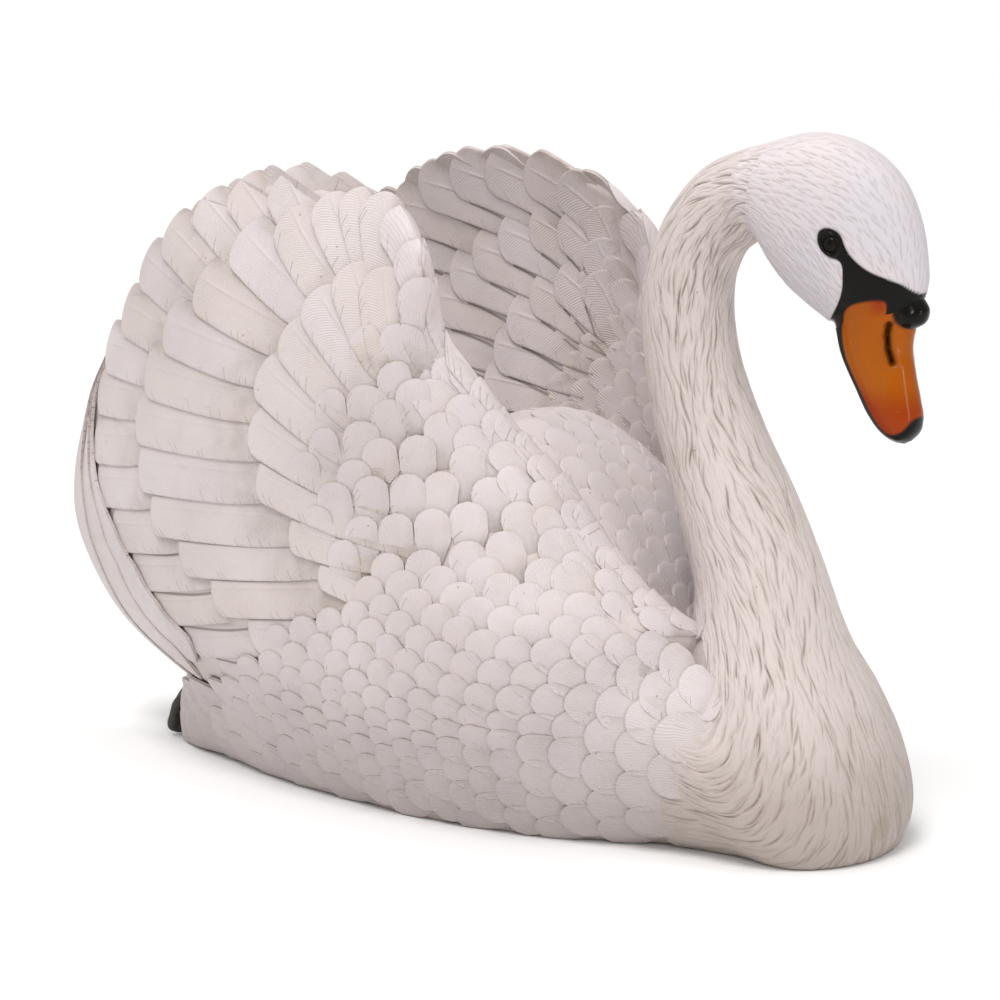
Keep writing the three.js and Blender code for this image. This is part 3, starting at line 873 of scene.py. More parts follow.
def spaced(points, gap):
    """Which points stay when each has to stand its own gap away from those kept before it."""
    kept = np.zeros(len(points), bool)
    for i, point in enumerate(points):
        kept[i] = np.all(np.linalg.norm(points[kept] - point, axis=-1) > gap[i])
    return kept


def listed(rows):
    """Tips, headings, lengths, widths and bends of feathers listed one by one."""
    x, z, heading, length, width, bend = np.array(rows, float).T
    return np.stack([x, z], 1) * MM, np.radians(heading), length * MM, width * MM, bend


def tier(rows, count, seed):
    """Feathers of a tier, evenly spaced through its rows: tips, headings, lengths and widths."""
    table = np.array(rows, float)
    table[:, [0, 1, 3, 4]] *= MM
    table[:, 2] = np.radians(table[:, 2])
    knots = run_along(table[:, :2])
    random = np.random.default_rng(seed)
    row = smooth_rows(table, knots, np.linspace(0, knots[-1], count))
    row[:, :2] += random.uniform(-1, 1, (count, 2)) * 1.2 * MM
    row[:, 2] += random.uniform(-1, 1, count) * 0.02
    return row[:, :2], row[:, 2], row[:, 3], row[:, 4]


# ---------------------------------------------------------------- fine strands


class Strands:
    """Carved strands on the breast, neck and head: a height over the body, held on a grid of turn
    and knot distance. Each stroke is a groove, its floor depth * sin(pi t)^0.7 deep, and across it
    0.6 exp(-(x / narrow)^2) + 0.4 exp(-(x / wide)^2). The deepest stroke at a place counts."""

    COLUMNS = 1600
    ROW = 0.8 * MM
    START = 590 * MM
    SPAN = 0.42                            # pitch of the courses, in lengths of a stroke
    STEPS = 120                            # stamps along a stroke
    REACH = 12                             # columns to each side that a stamp covers
    COARSE = (4, 10)                       # rows and columns to one place of the stretch tables

    def __init__(self, depth, head_depth):
        self.s = np.arange(self.START, BODY.end + self.ROW, self.ROW)
        self.height = np.zeros((len(self.s), self.COLUMNS))
        s, turn = grid(self.s[::self.COARSE[0]], once_round(self.COLUMNS)[::self.COARSE[1]])
        _, _, by_s, by_turn = on_surface(BODY.place, s, turn)
        self.by_s = np.maximum(np.linalg.norm(by_s, axis=-1), 0.15)
        self.by_turn = np.maximum(np.linalg.norm(by_turn, axis=-1), 0.004)
        head = BODY.knots[HEAD_START]
        # From, to, pitch, length, narrow and wide half width (all but the first two in mm), depth.
        for low, high, pitch, length, narrow, wide, deep, seed in (
            (self.START, head + 10 * MM, 2.9, 17, 0.34, 0.9, depth * 0.4, 11),
            (self.START, head + 5 * MM, 4.8, 26, 0.40, 1.3, depth * 0.8, 12),
            (self.START, head - 12 * MM, 9.5, 30, 0.48, 1.6, depth * 1.2, 14),
            (head - 25 * MM, BODY.end, 2.4, 9, 0.36, 0.9, head_depth, 13),
        ):
            self.field(low, high, pitch * MM, length * MM, deep, (narrow * MM, wide * MM), seed)

    def stretch(self, table, s, turn):
        """A stretch table's value at places on the body."""
        i = np.round((s - self.START) / self.ROW / self.COARSE[0]).astype(int)
        j = np.round(turn / (2 * np.pi) * self.COLUMNS / self.COARSE[1]).astype(int)
        return table[np.clip(i, 0, table.shape[0] - 1), j % table.shape[1]]

    def field(self, low, high, pitch, length, depth, widths, seed):
        """Staggered courses of strokes from high to low, evenly spaced round the body. A stroke
        leans by `drift`, a slow wave over the body and one of its own."""
        random = np.random.default_rng(seed)
        starts = []
        course = self.SPAN * length
        s = high + length
        while s > low:
            i = int(np.clip((s - self.START) / self.ROW / self.COARSE[0], 0, len(self.by_s) - 1))
            arc = np.concatenate([[0], np.cumsum(self.by_turn[i])])
            arc = arc * 2 * np.pi / self.by_turn.shape[1]
            count = max(int(arc[-1] / pitch * self.SPAN), 6)
            at = (np.arange(count) + random.uniform(-0.35, 0.35, count) + random.random()) / count
            turn = np.interp((at % 1) * arc[-1], arc, np.linspace(0, 2 * np.pi, len(arc)))
            starts.append(np.stack([s + random.uniform(-0.5, 0.5, count) * course, turn], 1))
            s -= course / max(float(np.median(self.by_s[i])), 0.5)
        s, turn = np.concatenate(starts).T
        count = len(s)
        own = length * random.uniform(0.6, 1.35, count)
        deep = depth * random.uniform(0.55, 1.15, count)
        phase = random.uniform(0, 2 * np.pi, count)
        sway = random.uniform(0.1, 0.3, count)
        for step in range(self.STEPS):
            t = step / (self.STEPS - 1)
            drift = 0.16 * np.sin(2 * turn + s / 0.045) + 0.12 * np.sin(5 * turn - s / 0.03 + 1)
            drift = drift + sway * np.sin(phase + 4.2 * t)
            s = s - own / self.STEPS / self.stretch(self.by_s, s, turn)
            across = self.stretch(self.by_turn, s, turn)
            turn = (turn + drift * own / self.STEPS / across) % (2 * np.pi)
            self.stamp(s, turn, across, deep * math.sin(math.pi * t) ** 0.7, widths, low, high)

    def stamp(self, s, turn, across, deep, widths, low, high):
        """Presses the cross-section of every stroke into the grid at one place along it."""
        row = np.round((s - self.START) / self.ROW).astype(int)
        ok = (row >= 0) & (row < len(self.s)) & (s > low) & (s < high)
        centre = turn / (2 * np.pi) * self.COLUMNS
        offset = np.arange(-self.REACH, self.REACH + 1)
        column = np.round(centre)[:, None].astype(int) + offset
        x = (column - centre[:, None]) * 2 * np.pi / self.COLUMNS * across[:, None]
        shape = 0.6 * bell(x, widths[0]) + 0.4 * bell(x, widths[1])
        value = -deep[:, None] * shape
        rows = np.broadcast_to(row[:, None], column.shape)
        np.minimum.at(self.height, (rows[ok], column[ok] % self.COLUMNS), value[ok])

    def at(self, s, turn):
        """Height of the strands at places on the body, read between the grid's points."""
        i = np.clip((s - self.START) / self.ROW, 0, len(self.s) - 1.001)
        return between_points(self.height, i, turn / (2 * np.pi) * self.COLUMNS)


# ---------------------------------------------------------------- surfaces of this bird


def facing(place, a, b, toward):
    """The sign that turns the surface's own normal at (a, b) towards a direction."""
    _, normal, _, _ = on_surface(place, np.array([a]), np.array([b]))
    return 1 if float(normal[0] @ np.asarray(toward, float)) > 0 else -1


def rim_face(side):
    """place(a, b) of the outer face near a wing's edge: a runs along the edge in metres from the
    shoulder over the top, and b is the distance in from the edge."""
    def place(a, b):
        x, z = moved_in(*(np.interp(a, RIM_ARC, RIM[:, k]) for k in (0, 1)), b)
        return on_side(side, x, outer_width(x, z), z)

    return place, facing(place, 0.5, 0.02, (0, side, 0))


def primary_face(side):
    """place(a, share) of the outer face behind the tips of the outer tier: a as for rim_face, and
    share from 0 at the edge to 1 at the tips."""
    rim, outward = rim_face(side)
    x, z = (np.array(OUTER_TIER, float)[:, :2] * MM).T
    angle = hub_angle(x, z)
    tips = np.interp(angle, RIM_ANGLE, RIM_ARC)
    whole = np.interp(angle, RIM_ANGLE, RIM_REACH)
    inset = whole - np.hypot(x - WING_HUB[0], z - WING_HUB[1])

    def place(a, share):
        return rim(a, share * np.maximum(np.interp(a, tips, inset), 10 * MM))

    return place, outward


def rim_arc(index):
    """Distance along the edge, in the measure of rim_face, of a row of the edge table."""
    knot = np.interp(index, np.arange(len(EDGE_KNOTS)), EDGE_KNOTS)
    return float(np.interp(knot, np.linspace(0, EDGE_KNOTS[-1], RIM_SAMPLES), RIM_ARC))


def rim_places(rows, inset):
    """Places [x, z] at rows of the edge table, moved in towards the hub."""
    at = np.interp(rows, np.arange(len(EDGE_KNOTS)), EDGE_KNOTS)
    edge = smooth_rows(EDGE, EDGE_KNOTS, at)[:, :2]
    return edge + unit(np.array(WING_HUB) - edge) * inset


def crest_face(side):
    """place(a, b) of a wing wrapped over its edge: a as for rim_face, and b the way over the edge,
    negative on the outer face and positive on the inner one. Within a quarter turn of the edge the
    section is an ellipse between the two faces."""
    def place(a, b):
        x, z, _, thick = (np.interp(a, RIM_ARC, RIM[:, k]) for k in range(4))
        radius = thick / 2
        turn = np.minimum(np.abs(b) / radius, np.pi / 2)
        inset = radius * (1 - np.cos(turn)) + np.maximum(np.abs(b) - radius * np.pi / 2, 0)
        x, z = moved_in(x, z, inset)
        outer, inner = outer_width(x, z), inner_width(x, z)
        y = (outer + inner) / 2 - np.sign(b) * (outer - inner) / 2 * np.sin(turn)
        return on_side(side, x, y, z)

    return place, facing(place, 0.15, -0.03, (0, side, 0))


def body_skin(material, inset):
    """The whole flesh as one skin: the body loft, moved in along its normals."""
    s, turn = grid(np.linspace(1 * MM, BODY.end - 17 * MM, 260), once_round(176))
    point, normal, _, _ = on_surface(BODY.place, s, turn)
    return tube_piece("skin_body", above_ground(point - normal * inset), material)


def wing_skin(side, label, material):
    """A raised wing without its feathers: the outer face, a rounded edge and the inner face, moved
    in where feathers lie on them. Both faces run from the hub to the edge, share r of the way; the
    last half thickness of it is rounded by sqrt(1 - q^2)."""
    turn = np.linspace(0, 2 * np.pi, 260, endpoint=False) + RIM_ANGLE[0]
    rounded = 1 - 0.07 * np.cos(np.linspace(0.3, np.pi / 2, 9))
    share, angle = grid(np.concatenate([np.linspace(0.03, 0.93, 30), rounded]), turn)
    x1, z1 = WING_HUB[0] + np.cos(angle), WING_HUB[1] + np.sin(angle)
    _, _, thick, _, whole = wing_polar(x1, z1)
    tips = smoothstep(-20 * MM, -90 * MM, WING_HUB[0] + np.cos(angle) * whole)
    reach = whole - (EDGE_INSET[0] + tips * EDGE_INSET[1]) * MM
    x = WING_HUB[0] + np.cos(angle) * reach * share
    z = WING_HUB[1] + np.sin(angle) * reach * share
    rear = smoothstep(-20 * MM, -110 * MM, x)
    outer = outer_width(x, z) - (OUTER_INSET[0] + OUTER_INSET[1] * rear) * MM
    inner = inner_width(x, z) + (INNER_INSET[0] + INNER_INSET[1] * rear) * MM
    inner = np.minimum(inner, outer - 1.5 * MM)
    zone = np.minimum(thick / 2, 12 * MM) / reach
    q = np.clip((share - 1 + zone) / zone, 0, 1)
    close = np.sqrt(np.clip(1 - q**2, 0, 1))
    middle, half = (outer + inner) / 2, (outer - inner) / 2
    faces = [on_side(side, x, middle + sign * half * close, z) for sign in (1, -1)]
    rings = np.concatenate([faces[0], faces[1][-2::-1]])
    return tube_piece("skin_wing_" + label, above_ground(rings), material)


def strand_start(turn):
    """Knot distance where the strands begin, for every turn round the body."""
    table = np.array(STRAND_START, float)
    from_back = np.degrees(np.arccos(np.cos(turn)))
    return np.interp(from_back, table[:, 0], table[:, 1] * MM)


def coat_piece(name, strands, low, high, size, material, dips=False):
    """A stretch of the coat of strands, from knot distance low(turn) to high(turn), of size rows
    and columns. Where it starts the coat, it dips 3 mm under the feathers over its first 9 mm;
    elsewhere one more row lies under the end of the piece before it. It carries the depth of the
    grooves as painted shade and grime."""
    share, turn = grid(np.linspace(0, 1, size[0]), once_round(size[1]))
    s = low(turn) + (high(turn) - low(turn)) * share
    if not dips:
        s, turn = np.vstack([s[:1] - 1.5 * MM, s]), np.vstack([turn[:1], turn])
    point, normal, by_s, _ = on_surface(BODY.place, s, turn)
    height = strands.at(s, turn)
    if dips:
        way = (s - low(turn)) * np.linalg.norm(by_s, axis=-1)
        dive = 3.0 * MM * (1 - smoothstep(0, 9 * MM, way))
    else:
        dive = np.where(np.arange(len(s)) == 0, 0.9 * MM, 0.0)[:, None]
    rings = point + normal * (height - dive)[..., None]
    # Painted shade and grime, darker in deeper grooves.
    shade_and_grime = np.clip(-height / (1.25 * MM), 0, 1) ** 1.4
    return tube_piece(name, above_ground(rings), material, {"shade_and_grime": shade_and_grime}, sharp=75)


def corner_cut(outline):
    """A closed outline with its corners cut three times, each edge kept from 1/4 to 3/4."""
    ring = np.array(outline, float)
    for _ in range(3):
        after = np.roll(ring, -1, axis=0)
        ring = np.stack([0.75 * ring + 0.25 * after, 0.25 * ring + 0.75 * after], 1).reshape(-1, 2)
    return ring


def paint_at(x, z):
    """How black and how orange the head is at places on its side, each 0 to 1, and the distances
    inside the two outlines."""
    mask = distance_inside(corner_cut(MASK_OUTLINE) * MM, x, z)
    orange = distance_inside(corner_cut(ORANGE_OUTLINE) * MM, x, z)
    black = smoothstep(-0.5 * MM, 0.6 * MM, mask)
    return black, smoothstep(-0.9 * MM, 1.2 * MM, orange), mask, orange


def red_at(x, z):
    """Red-orange shading of the bill: towards its lower edge, its upper corner and its tip."""
    low_edge = distance_inside(np.array(BILL_ABOVE_EDGE) * MM, x, z)
    edge = 1 - smoothstep(2 * MM, 13 * MM, low_edge)
    corner = bell(np.hypot(x - 311 * MM, z - 414 * MM), 9 * MM)
    tip = smoothstep(357 * MM, 333 * MM, z)
    return np.clip(0.75 * edge * smoothstep(395 * MM, 365 * MM, z) + 0.9 * corner + 0.8 * tip, 0, 1)


def head_coat(strands, material):
    """The head: fine strands that fade under the paint, a socket round each eye, a fuller cheek,
    and the paint as attributes. Its end closes onto the root of the bill."""
    start = BODY.knots[HEAD_START] - HEAD_SEAM
    rows = np.concatenate([[start - 1.5 * MM], np.linspace(start, BODY.end, 184)])
    s, turn = grid(rows, once_round(520))
    point, normal, _, _ = on_surface(BODY.place, s, turn)
    x, z = point[..., 0], point[..., 2]
    black, orange, mask, _ = paint_at(x, z)
    aside = smoothstep(6 * MM, 14 * MM, np.abs(point[..., 1]))
    front = x > 262 * MM
    black = black * front
    orange = orange * black
    eye = np.hypot(x - EYE[0], z - EYE[2])
    height = strands.at(s, turn) * (1 - black)
    height = height - 2.4 * MM * bell(eye, 9.5 * MM) * aside
    height = height + 0.5 * MM * bell(eye - 12 * MM, 3.5 * MM) * aside * (1 - black)
    height = height + 0.4 * MM * black - 0.5 * MM * bell(mask, 0.9 * MM) * aside * front
    height[0] -= 0.9 * MM
    rings = point + normal * height[..., None]
    root = BILL.place(np.zeros_like(turn), turn)
    slope = (BILL.place(np.full_like(turn, 1 * MM), turn) - root) / (1 * MM)
    root = root - slope * (BODY.end - s)[..., None]
    close = smoothstep(BODY.end - 15 * MM, BODY.end - 3 * MM, s)[..., None]
    rings = rings * (1 - close) + root * close
    # Painted shade and grime in the grooves, none under the mask.
    shade_and_grime = np.clip(-strands.at(s, turn) / (0.8 * MM), 0, 1) ** 1.3 * (1 - black)
    values = {"shade_and_grime": shade_and_grime, "black": black, "orange": orange, "red": red_at(x, z)}
    return tube_piece("coat_head", rings, material, values, sharp=75)


def bill_piece(name, upper, material):
    """A sheath of the bill: an arc of the bill's loft closed by a chord. The upper one takes the
    turns within the gape, and carries the nostrils and the nail; the lower one takes the rest."""
    ends = (-GAPE, GAPE) if upper else (GAPE + 0.03, 2 * np.pi - GAPE - 0.03)
    s, turn = grid(np.linspace(0, BILL.end - 0.1 * MM, 90), np.linspace(*ends, 96))
    point, normal, _, _ = on_surface(BILL.place, s, turn)
    slit = np.full(s.shape, 1.0)
    if upper:
        slit = line_distance(np.array(NOSTRIL) * MM, point[..., 0], point[..., 2])
        aside = smoothstep(4 * MM, 8 * MM, np.abs(point[..., 1]))
        height = 0.7 * MM * bell(slit - 3.6 * MM, 1.2 * MM) * aside
        height = height - 4.5 * MM * bell(slit, 1.9 * MM) * aside
        height = height + 0.7 * MM * bell(np.abs(np.abs(turn) - GAPE), 0.16)
        point = point + normal * height[..., None]
    t = np.linspace(0, 1, 16)[1:-1][None, :, None]
    chord = point[:, -1:] * (1 - t) + point[:, :1] * t
    rings = np.concatenate([point, chord], 1)
    slit = np.concatenate([slit, np.full(chord.shape[:2], 1.0)], 1)
    x, z = rings[..., 0], rings[..., 2]
    orange = paint_at(x, z)[1] * upper * (1 - bell(slit, 2.2 * MM))
    values = {"orange": orange, "black": 1 - orange, "red": red_at(x, z), "shade_and_grime": np.zeros_like(x)}
    return tube_piece(name, rings, material, values, sharp=60)


def ball_piece(name, centre, radii, material, bumps=None):
    """An ellipsoid, with bumps(direction) metres of extra height."""
    tilt, turn = grid(np.linspace(0.02, np.pi - 0.02, 48), once_round(64))
    way = np.stack([np.sin(tilt) * np.cos(turn), np.sin(tilt) * np.sin(turn), np.cos(tilt)], -1)
    extra = bumps(way)[..., None] * way if bumps else 0.0
    rings = np.asarray(centre) + way * np.asarray(radii) + extra
    black = np.ones(rings.shape[:2])
    return tube_piece(name, rings, material, {"black": black}, sharp=180)


def head_width(x, z):
    """Half width of the head at places on its side: the nearest of a dense sampling of its loft."""
    s, turn = grid(np.linspace(BODY.knots[HEAD_START], BODY.end, 160), np.linspace(0.3, 2.8, 160))
    sample = BODY.place(s, turn).reshape(-1, 3)
    across, up = sample[None, :, 0] - x.reshape(-1, 1), sample[None, :, 2] - z.reshape(-1, 1)
    away = across**2 + up**2
    near = np.argsort(away, axis=1)[:, :6]
    weight = 1 / (np.take_along_axis(away, near, 1) + (0.4 * MM) ** 2)
    return ((sample[near, 1] * weight).sum(1) / weight.sum(1)).reshape(x.shape)


def lid_piece(name, side, material):
    """An eyelid: a round cord carried along an ellipse that leans with the mask."""
    rows, columns = 96, 24
    turn, round_ = grid(once_round(rows), once_round(columns))
    cord, cosine, sine = 1.5 * MM, math.cos(LID_LEAN), math.sin(LID_LEAN)

    def leaned(u, v):
        return u * cosine - v * sine, u * sine + v * cosine

    x, z = leaned(LID_RADII[0] * np.cos(turn), LID_RADII[1] * np.sin(turn))
    out_x, out_z = leaned(np.cos(turn), np.sin(turn))
    flank = head_width(EYE[0] + x, EYE[2] + z)
    points = np.stack([
        EYE[0] + x + cord * np.cos(round_) * out_x,
        side * (flank - 1.2 * MM + cord * np.sin(round_)),
        EYE[2] + z + cord * np.cos(round_) * out_z,
    ], -1).reshape(-1, 3)
    i, j = grid(np.arange(rows), np.arange(columns))
    ni, nj = (i + 1) % rows, (j + 1) % columns
    corners = (i * columns + j, i * columns + nj, ni * columns + nj, ni * columns + j)
    flat = np.stack([(i / rows).reshape(-1), (j / columns).reshape(-1)], 1) * 0.98 + 0.01
    return make_piece(
        name, points, [np.stack(corners, -1).reshape(-1, 4)], material,
        {"lie": flat, "OFBake": flat}, {"black": np.ones(rows * columns)}, sharp=180)


def foot_piece(name, side, material):
    """A webbed foot: the foot's loft with three toes raised along it and a scalloped web."""
    s, turn = grid(np.linspace(0.3 * MM, FOOT.end - 0.2 * MM, 60), once_round(96))
    point, normal, _, _ = on_surface(FOOT.place, s, turn)
    across = point[..., 1] / (20 * MM)
    grown = smoothstep(0.1, 0.5, s / FOOT.end)
    toes = bell(np.abs(across) - 0.72, 0.2) + bell(across, 0.2)
    joints = 1 + 0.25 * np.sin(s / FOOT.end * 22)
    height = (1.6 * toes * joints - 1.3) * MM * grown
    point = above_ground(point + normal * height[..., None])
    point[..., 1] += side * FOOT_OFFSET
    # Painted shade and grime between the toes.
    shade_and_grime = np.clip(1 - toes, 0, 1)
    return tube_piece(name, point, material, {"shade_and_grime": shade_and_grime}, sharp=60)


# ---------------------------------------------------------------- feathers of this bird

LONG_ROWS = np.concatenate([np.linspace(0, 0.8, 16), [0.86, 0.91, 0.95, 0.975, 0.99, 1.0]])
LONG_COLUMNS = np.array([
    -1, -0.97, -0.88, -0.72, -0.5, -0.25, -0.02, 0.05, 0.09,
    0.12, 0.15, 0.2, 0.3, 0.5, 0.72, 0.9, 0.98, 1,
])


def scallop_size(x, z):
    """Width of a scallop: 24 mm, and up to 30 mm low on the breast and towards the stern."""
    breast = smoothstep(0.0, 0.15, np.asarray(x)) * smoothstep(0.16, 0.08, np.asarray(z))
    return (24 + 6 * breast + 4 * smoothstep(0.0, -0.2, np.asarray(x))) * MM


def flank_heading(x, z):
    """Which way the scallops of a flank point, in radians: level on the belly, then turning upright
    up the side. They lean back along the front edge of the wing and lie down again at the stern."""
    turn = np.interp(z - 0.25 * x, *zip(*FLANK_TURNS))
    turn = turn + 18 * smoothstep(0, 0.12, x) * smoothstep(0.15, 0.21, z)
    stern = smoothstep(-0.09, -0.24, x) * smoothstep(0.19, 0.08, z)
    return np.radians(turn + (174 - turn) * stern)


def flank_rays():
    """Lines that follow flank_heading from a row of places on the breast, in steps of 1.5 mm."""
    place = np.stack([np.full(320, 0.212), np.linspace(-0.02, 0.165, 320)], -1)
    rays = [place]
    for _ in range(420):
        turn = flank_heading(place[:, 0], place[:, 1])
        place = place + 1.5 * MM * np.stack([np.cos(turn), np.sin(turn)], -1)
        rays.append(place)
    return np.stack(rays)


def flank_scallops(side, label, material):
    """Scallops over a flank and shoulder, in courses across the lines of flank_rays. Towards the
    tail they grow long. Where courses run together, the later ones give way."""
    flank = Flank(side)
    rays = flank_rays()
    size = scallop_size(rays[..., 0], rays[..., 1])
    places, heading, width = courses(flank.place, rays, size, 21 + side, pitch=0.86)
    shift = side_shift(side) * smoothstep(60 * MM, 140 * MM, places[:, 1:2])
    kept = kept_in(FLANK_OUTLINE, places - shift)
    places, heading, width = places[kept], heading[kept], width[kept]
    kept = spaced(flank.place(places[:, 0], places[:, 1]), 0.72 * width)
    places, heading, width = places[kept], heading[kept], width[kept]
    back, height = places.T
    stern = smoothstep(-110 * MM, -230 * MM, back) * smoothstep(150 * MM, 90 * MM, height)
    vanes = Vanes((flank.place, -side), root=-1.8 * MM, tip=0.5 * MM, camber=0.0, bevel=0.15 * MM,
                  round=(1.0, 0.85), edge_shade=0.3, mosaic=0.4, spread=0.25)
    heading = heading + np.random.default_rng(33).uniform(-0.08, 0.08, len(heading))
    vanes.lay(places, heading, width * (1.75 + 1.0 * stern), width * 1.16, seed=31 + side)
    return vanes.piece("scallops_flank_" + label, material)


def mantle_scallops(material):
    """Scallops over the back between the wings: courses round the body, pointing to the tail. None
    lie below the shoulders, where the flanks have theirs."""
    s, turn = grid(np.linspace(0.9, 0.02, 460), np.linspace(-1.6, 1.6, 121))
    rays = np.stack([s, turn], -1)
    size = (30 - 9 * smoothstep(0.35, 0.75, s)) * MM
    places, heading, width = courses(BODY.place, rays, size, 41)
    point = BODY.place(*places.T)
    under_flank = (point[:, 0] > 120 * MM) & (point[:, 0] < 203 * MM) & (point[:, 2] < 140 * MM)
    kept = (places[:, 0] < strand_start(places[:, 1]) + 10 * MM) & ~under_flank
    vanes = Vanes((BODY.place, 1), root=-2.0 * MM, tip=0.7 * MM, camber=0.05 * MM,
                  edge_shade=0.2, root_shade=0.4, mosaic=0.4)
    vanes.lay(places[kept], heading[kept], width[kept] * 1.8, width[kept] * 1.14, seed=42)
    return vanes.piece("scallops_mantle", material)


def crest_scallops(side, label, material):
    """Scallops lapped over the front edge of a raised wing, pointing up along it, three to a row,
    and the big rounded feathers that end the edge at the top."""
    random = np.random.default_rng(51 + side)
    tips, length, width = [], [], []
    a, k = 0.03, 0
    top = rim_arc(6.7)
    while a < top:
        grown = 1 + 0.35 * smoothstep(rim_arc(3), rim_arc(6), a)
        at = (np.array([-17, -3, 7]) - 6 * (k % 2)) * grown + random.uniform(-1, 1, 3)
        tips.append(np.stack([a + random.uniform(-1.5, 1.5, 3) * MM, at * MM], 1))
        length.append(np.full(3, 46 * grown))
        width.append(np.full(3, 21 * grown))
        a += 21 * MM * grown
        k += 1
    tips, length, width = (np.concatenate(v) for v in (tips, length, width))
    vanes = Vanes(crest_face(side), root=-2.4 * MM, tip=0.6 * MM, camber=0.1 * MM,
                  thickness=3.2 * MM, edge_shade=0.3, mosaic=0.4)
    vanes.lay(tips, np.zeros(len(tips)), length * MM, width * MM, seed=52)
    vanes.heights.update(tip=2.0 * MM, shaft=0.6 * MM)
    big = np.array(CREST_FEATHERS, float)
    big[:, 0] = [rim_arc(k) for k in big[:, 0]]
    big[:, 1:] *= MM
    vanes.lay(big[:, :2], np.zeros(len(big)), big[:, 2], big[:, 3], seed=53)
    return vanes.piece("scallops_crest_" + label, material)


def hollow_scallops(side, label, material):
    """Scallops on the inner face of a raised wing, near its front edge."""
    place, outward = wing_face(side, True)
    r, bearing = grid(np.linspace(0.2, 0.62, 360), np.radians(np.linspace(80, 175, 120)))
    rays = np.stack([0.30 + r * np.cos(bearing), 0.02 + r * np.sin(bearing)], -1)
    places, heading, _ = courses(place, rays, np.full(r.shape, 23 * MM), 61 + side)
    kept = kept_in(HOLLOW_OUTLINE, places - side_shift(side))
    vanes = Vanes((place, outward), root=-2.4 * MM, tip=0.0, camber=0.4 * MM)
    vanes.lay(places[kept], heading[kept], 42 * MM, 26 * MM, seed=62)
    return vanes.piece("scallops_hollow_" + label, material)


def long_feathers(side, label, material):
    """The tiers of long feathers on a wing's outer face, and the primaries along its rear edge."""
    pieces = []
    looks = (
        ("outer", OUTER_TIER, -4.6, -2.8), ("middle", MIDDLE_TIER, -3.2, -1.4),
        ("inner", INNER_TIER, -2.0, -0.3),
    )
    for name, rows, root, tip in looks:
        place, heading, length, width, bend = listed(rows)
        vanes = Vanes(wing_face(side, False), LONG_ROWS, LONG_COLUMNS, root=root * MM, tip=tip * MM,
                      tilt=1.5 * MM, camber=0.45 * MM, bevel=0.3 * MM, thickness=3.6 * MM,
                      shaft=0.7 * MM, round=(1.35, 0.75), waist=0.85, spread=0.12)
        blunt = smoothstep(math.radians(112), math.radians(168), heading)
        vanes.lay(place + side_shift(side), heading, length, width * 0.92, bend, 72,
                  (0.95 - 0.3 * blunt, 1.0 - 0.5 * blunt), lapped=True)
        pieces.append(vanes.piece("feathers_" + name + "_" + label, material))
    start, end = rim_arc(14.0), rim_arc(20.8)
    face = primary_face(side)
    vanes = Vanes(face, np.linspace(0, 1, 64), LONG_COLUMNS, tilt=1.7 * MM, camber=0.9 * MM,
                  bevel=0.3 * MM, thickness=2.4 * MM, shaft=0.4 * MM, round=(1.0, 1.0), waist=0.45,
                  spread=0.1, hand=-1, root_shade=0.0, edge_shade=0.1, dive=3 * MM)
    for k, (outer, inner, height) in enumerate(PRIMARY_STRIPS):
        vanes.heights.update(root=height * MM, tip=height * MM)
        tip = np.array([[end - k * 10 * MM, (outer + inner) / 2]])
        along, deep = (np.linalg.norm(stretch, axis=-1)
                       for stretch in on_surface(face[0], tip[:, 0], tip[:, 1])[2:])
        length, width = (tip[:, 0] - start) * along, (inner - outer) * deep
        vanes.lay(tip, np.zeros(1), length, width, seed=73 + k)
    pieces.append(vanes.piece("feathers_primary_" + label, material))
    return pieces


def hollow_feathers(side, label, material):
    """Three tiers of long feathers on the inner face of a wing, in deep relief."""
    shift = side_shift(side)
    pieces = []
    for name, rows, count, root, tip in (
        ("hollow", HOLLOW_TIER, 18, -3.6, -1.6), ("second", SECOND_HOLLOW_TIER, 14, -2.8, -0.6),
        ("third", THIRD_HOLLOW_TIER, 10, -2.0, 0.2),
    ):
        place, heading, length, width = tier(rows, count, 81 + side)
        vanes = Vanes(wing_face(side, True), LONG_ROWS, LONG_COLUMNS, root=root * MM, tip=tip * MM,
                      tilt=2.0 * MM, camber=1.6 * MM, bevel=0.3 * MM, thickness=3.4 * MM,
                      shaft=0.7 * MM, round=(0.8, 0.7), waist=0.8, spread=0.3)
        vanes.lay(place + shift, heading, length, width, bend=0.1, seed=82, lapped=True)
        if name == "hollow":
            vanes.heights.update(root=-2.4 * MM, tip=-1.3 * MM, thickness=1.8 * MM, tilt=0.6 * MM,
                                 camber=0.3 * MM, shaft=0.4 * MM)
            tips = rim_places(np.linspace(14.2, 22.0, 13), 10 * MM)
            outward = np.arctan2(*(tips - np.array(WING_HUB)).T[::-1]) % (2 * np.pi)
            vanes.lay(tips + shift, (outward + math.radians(188)) / 2, 120 * MM, 46 * MM, 0.05, 83)
        pieces.append(vanes.piece("feathers_" + name + "_" + label, material))
    return pieces


def tail_face(up):
    """place(x, y) of the tail's upper side (up 1) or under side (up -1). Beyond 0.97 of the half
    width it runs on level."""
    back_x, back_z, _, belly_z, half_width, _ = TAIL.slices[::-1].T

    def place(x, y):
        top, bottom, half = (np.interp(x, back_x, v) for v in (back_z, belly_z, half_width))
        share = np.minimum(np.abs(y) / half, 0.97)
        depth = (top - bottom) / 2 * (1 - share**2.2) ** (1 / 2.2)
        return np.stack([x, y, (top + bottom) / 2 + up * depth], -1)

    return place, facing(place, -0.33, 0.0, (0, 0, up))


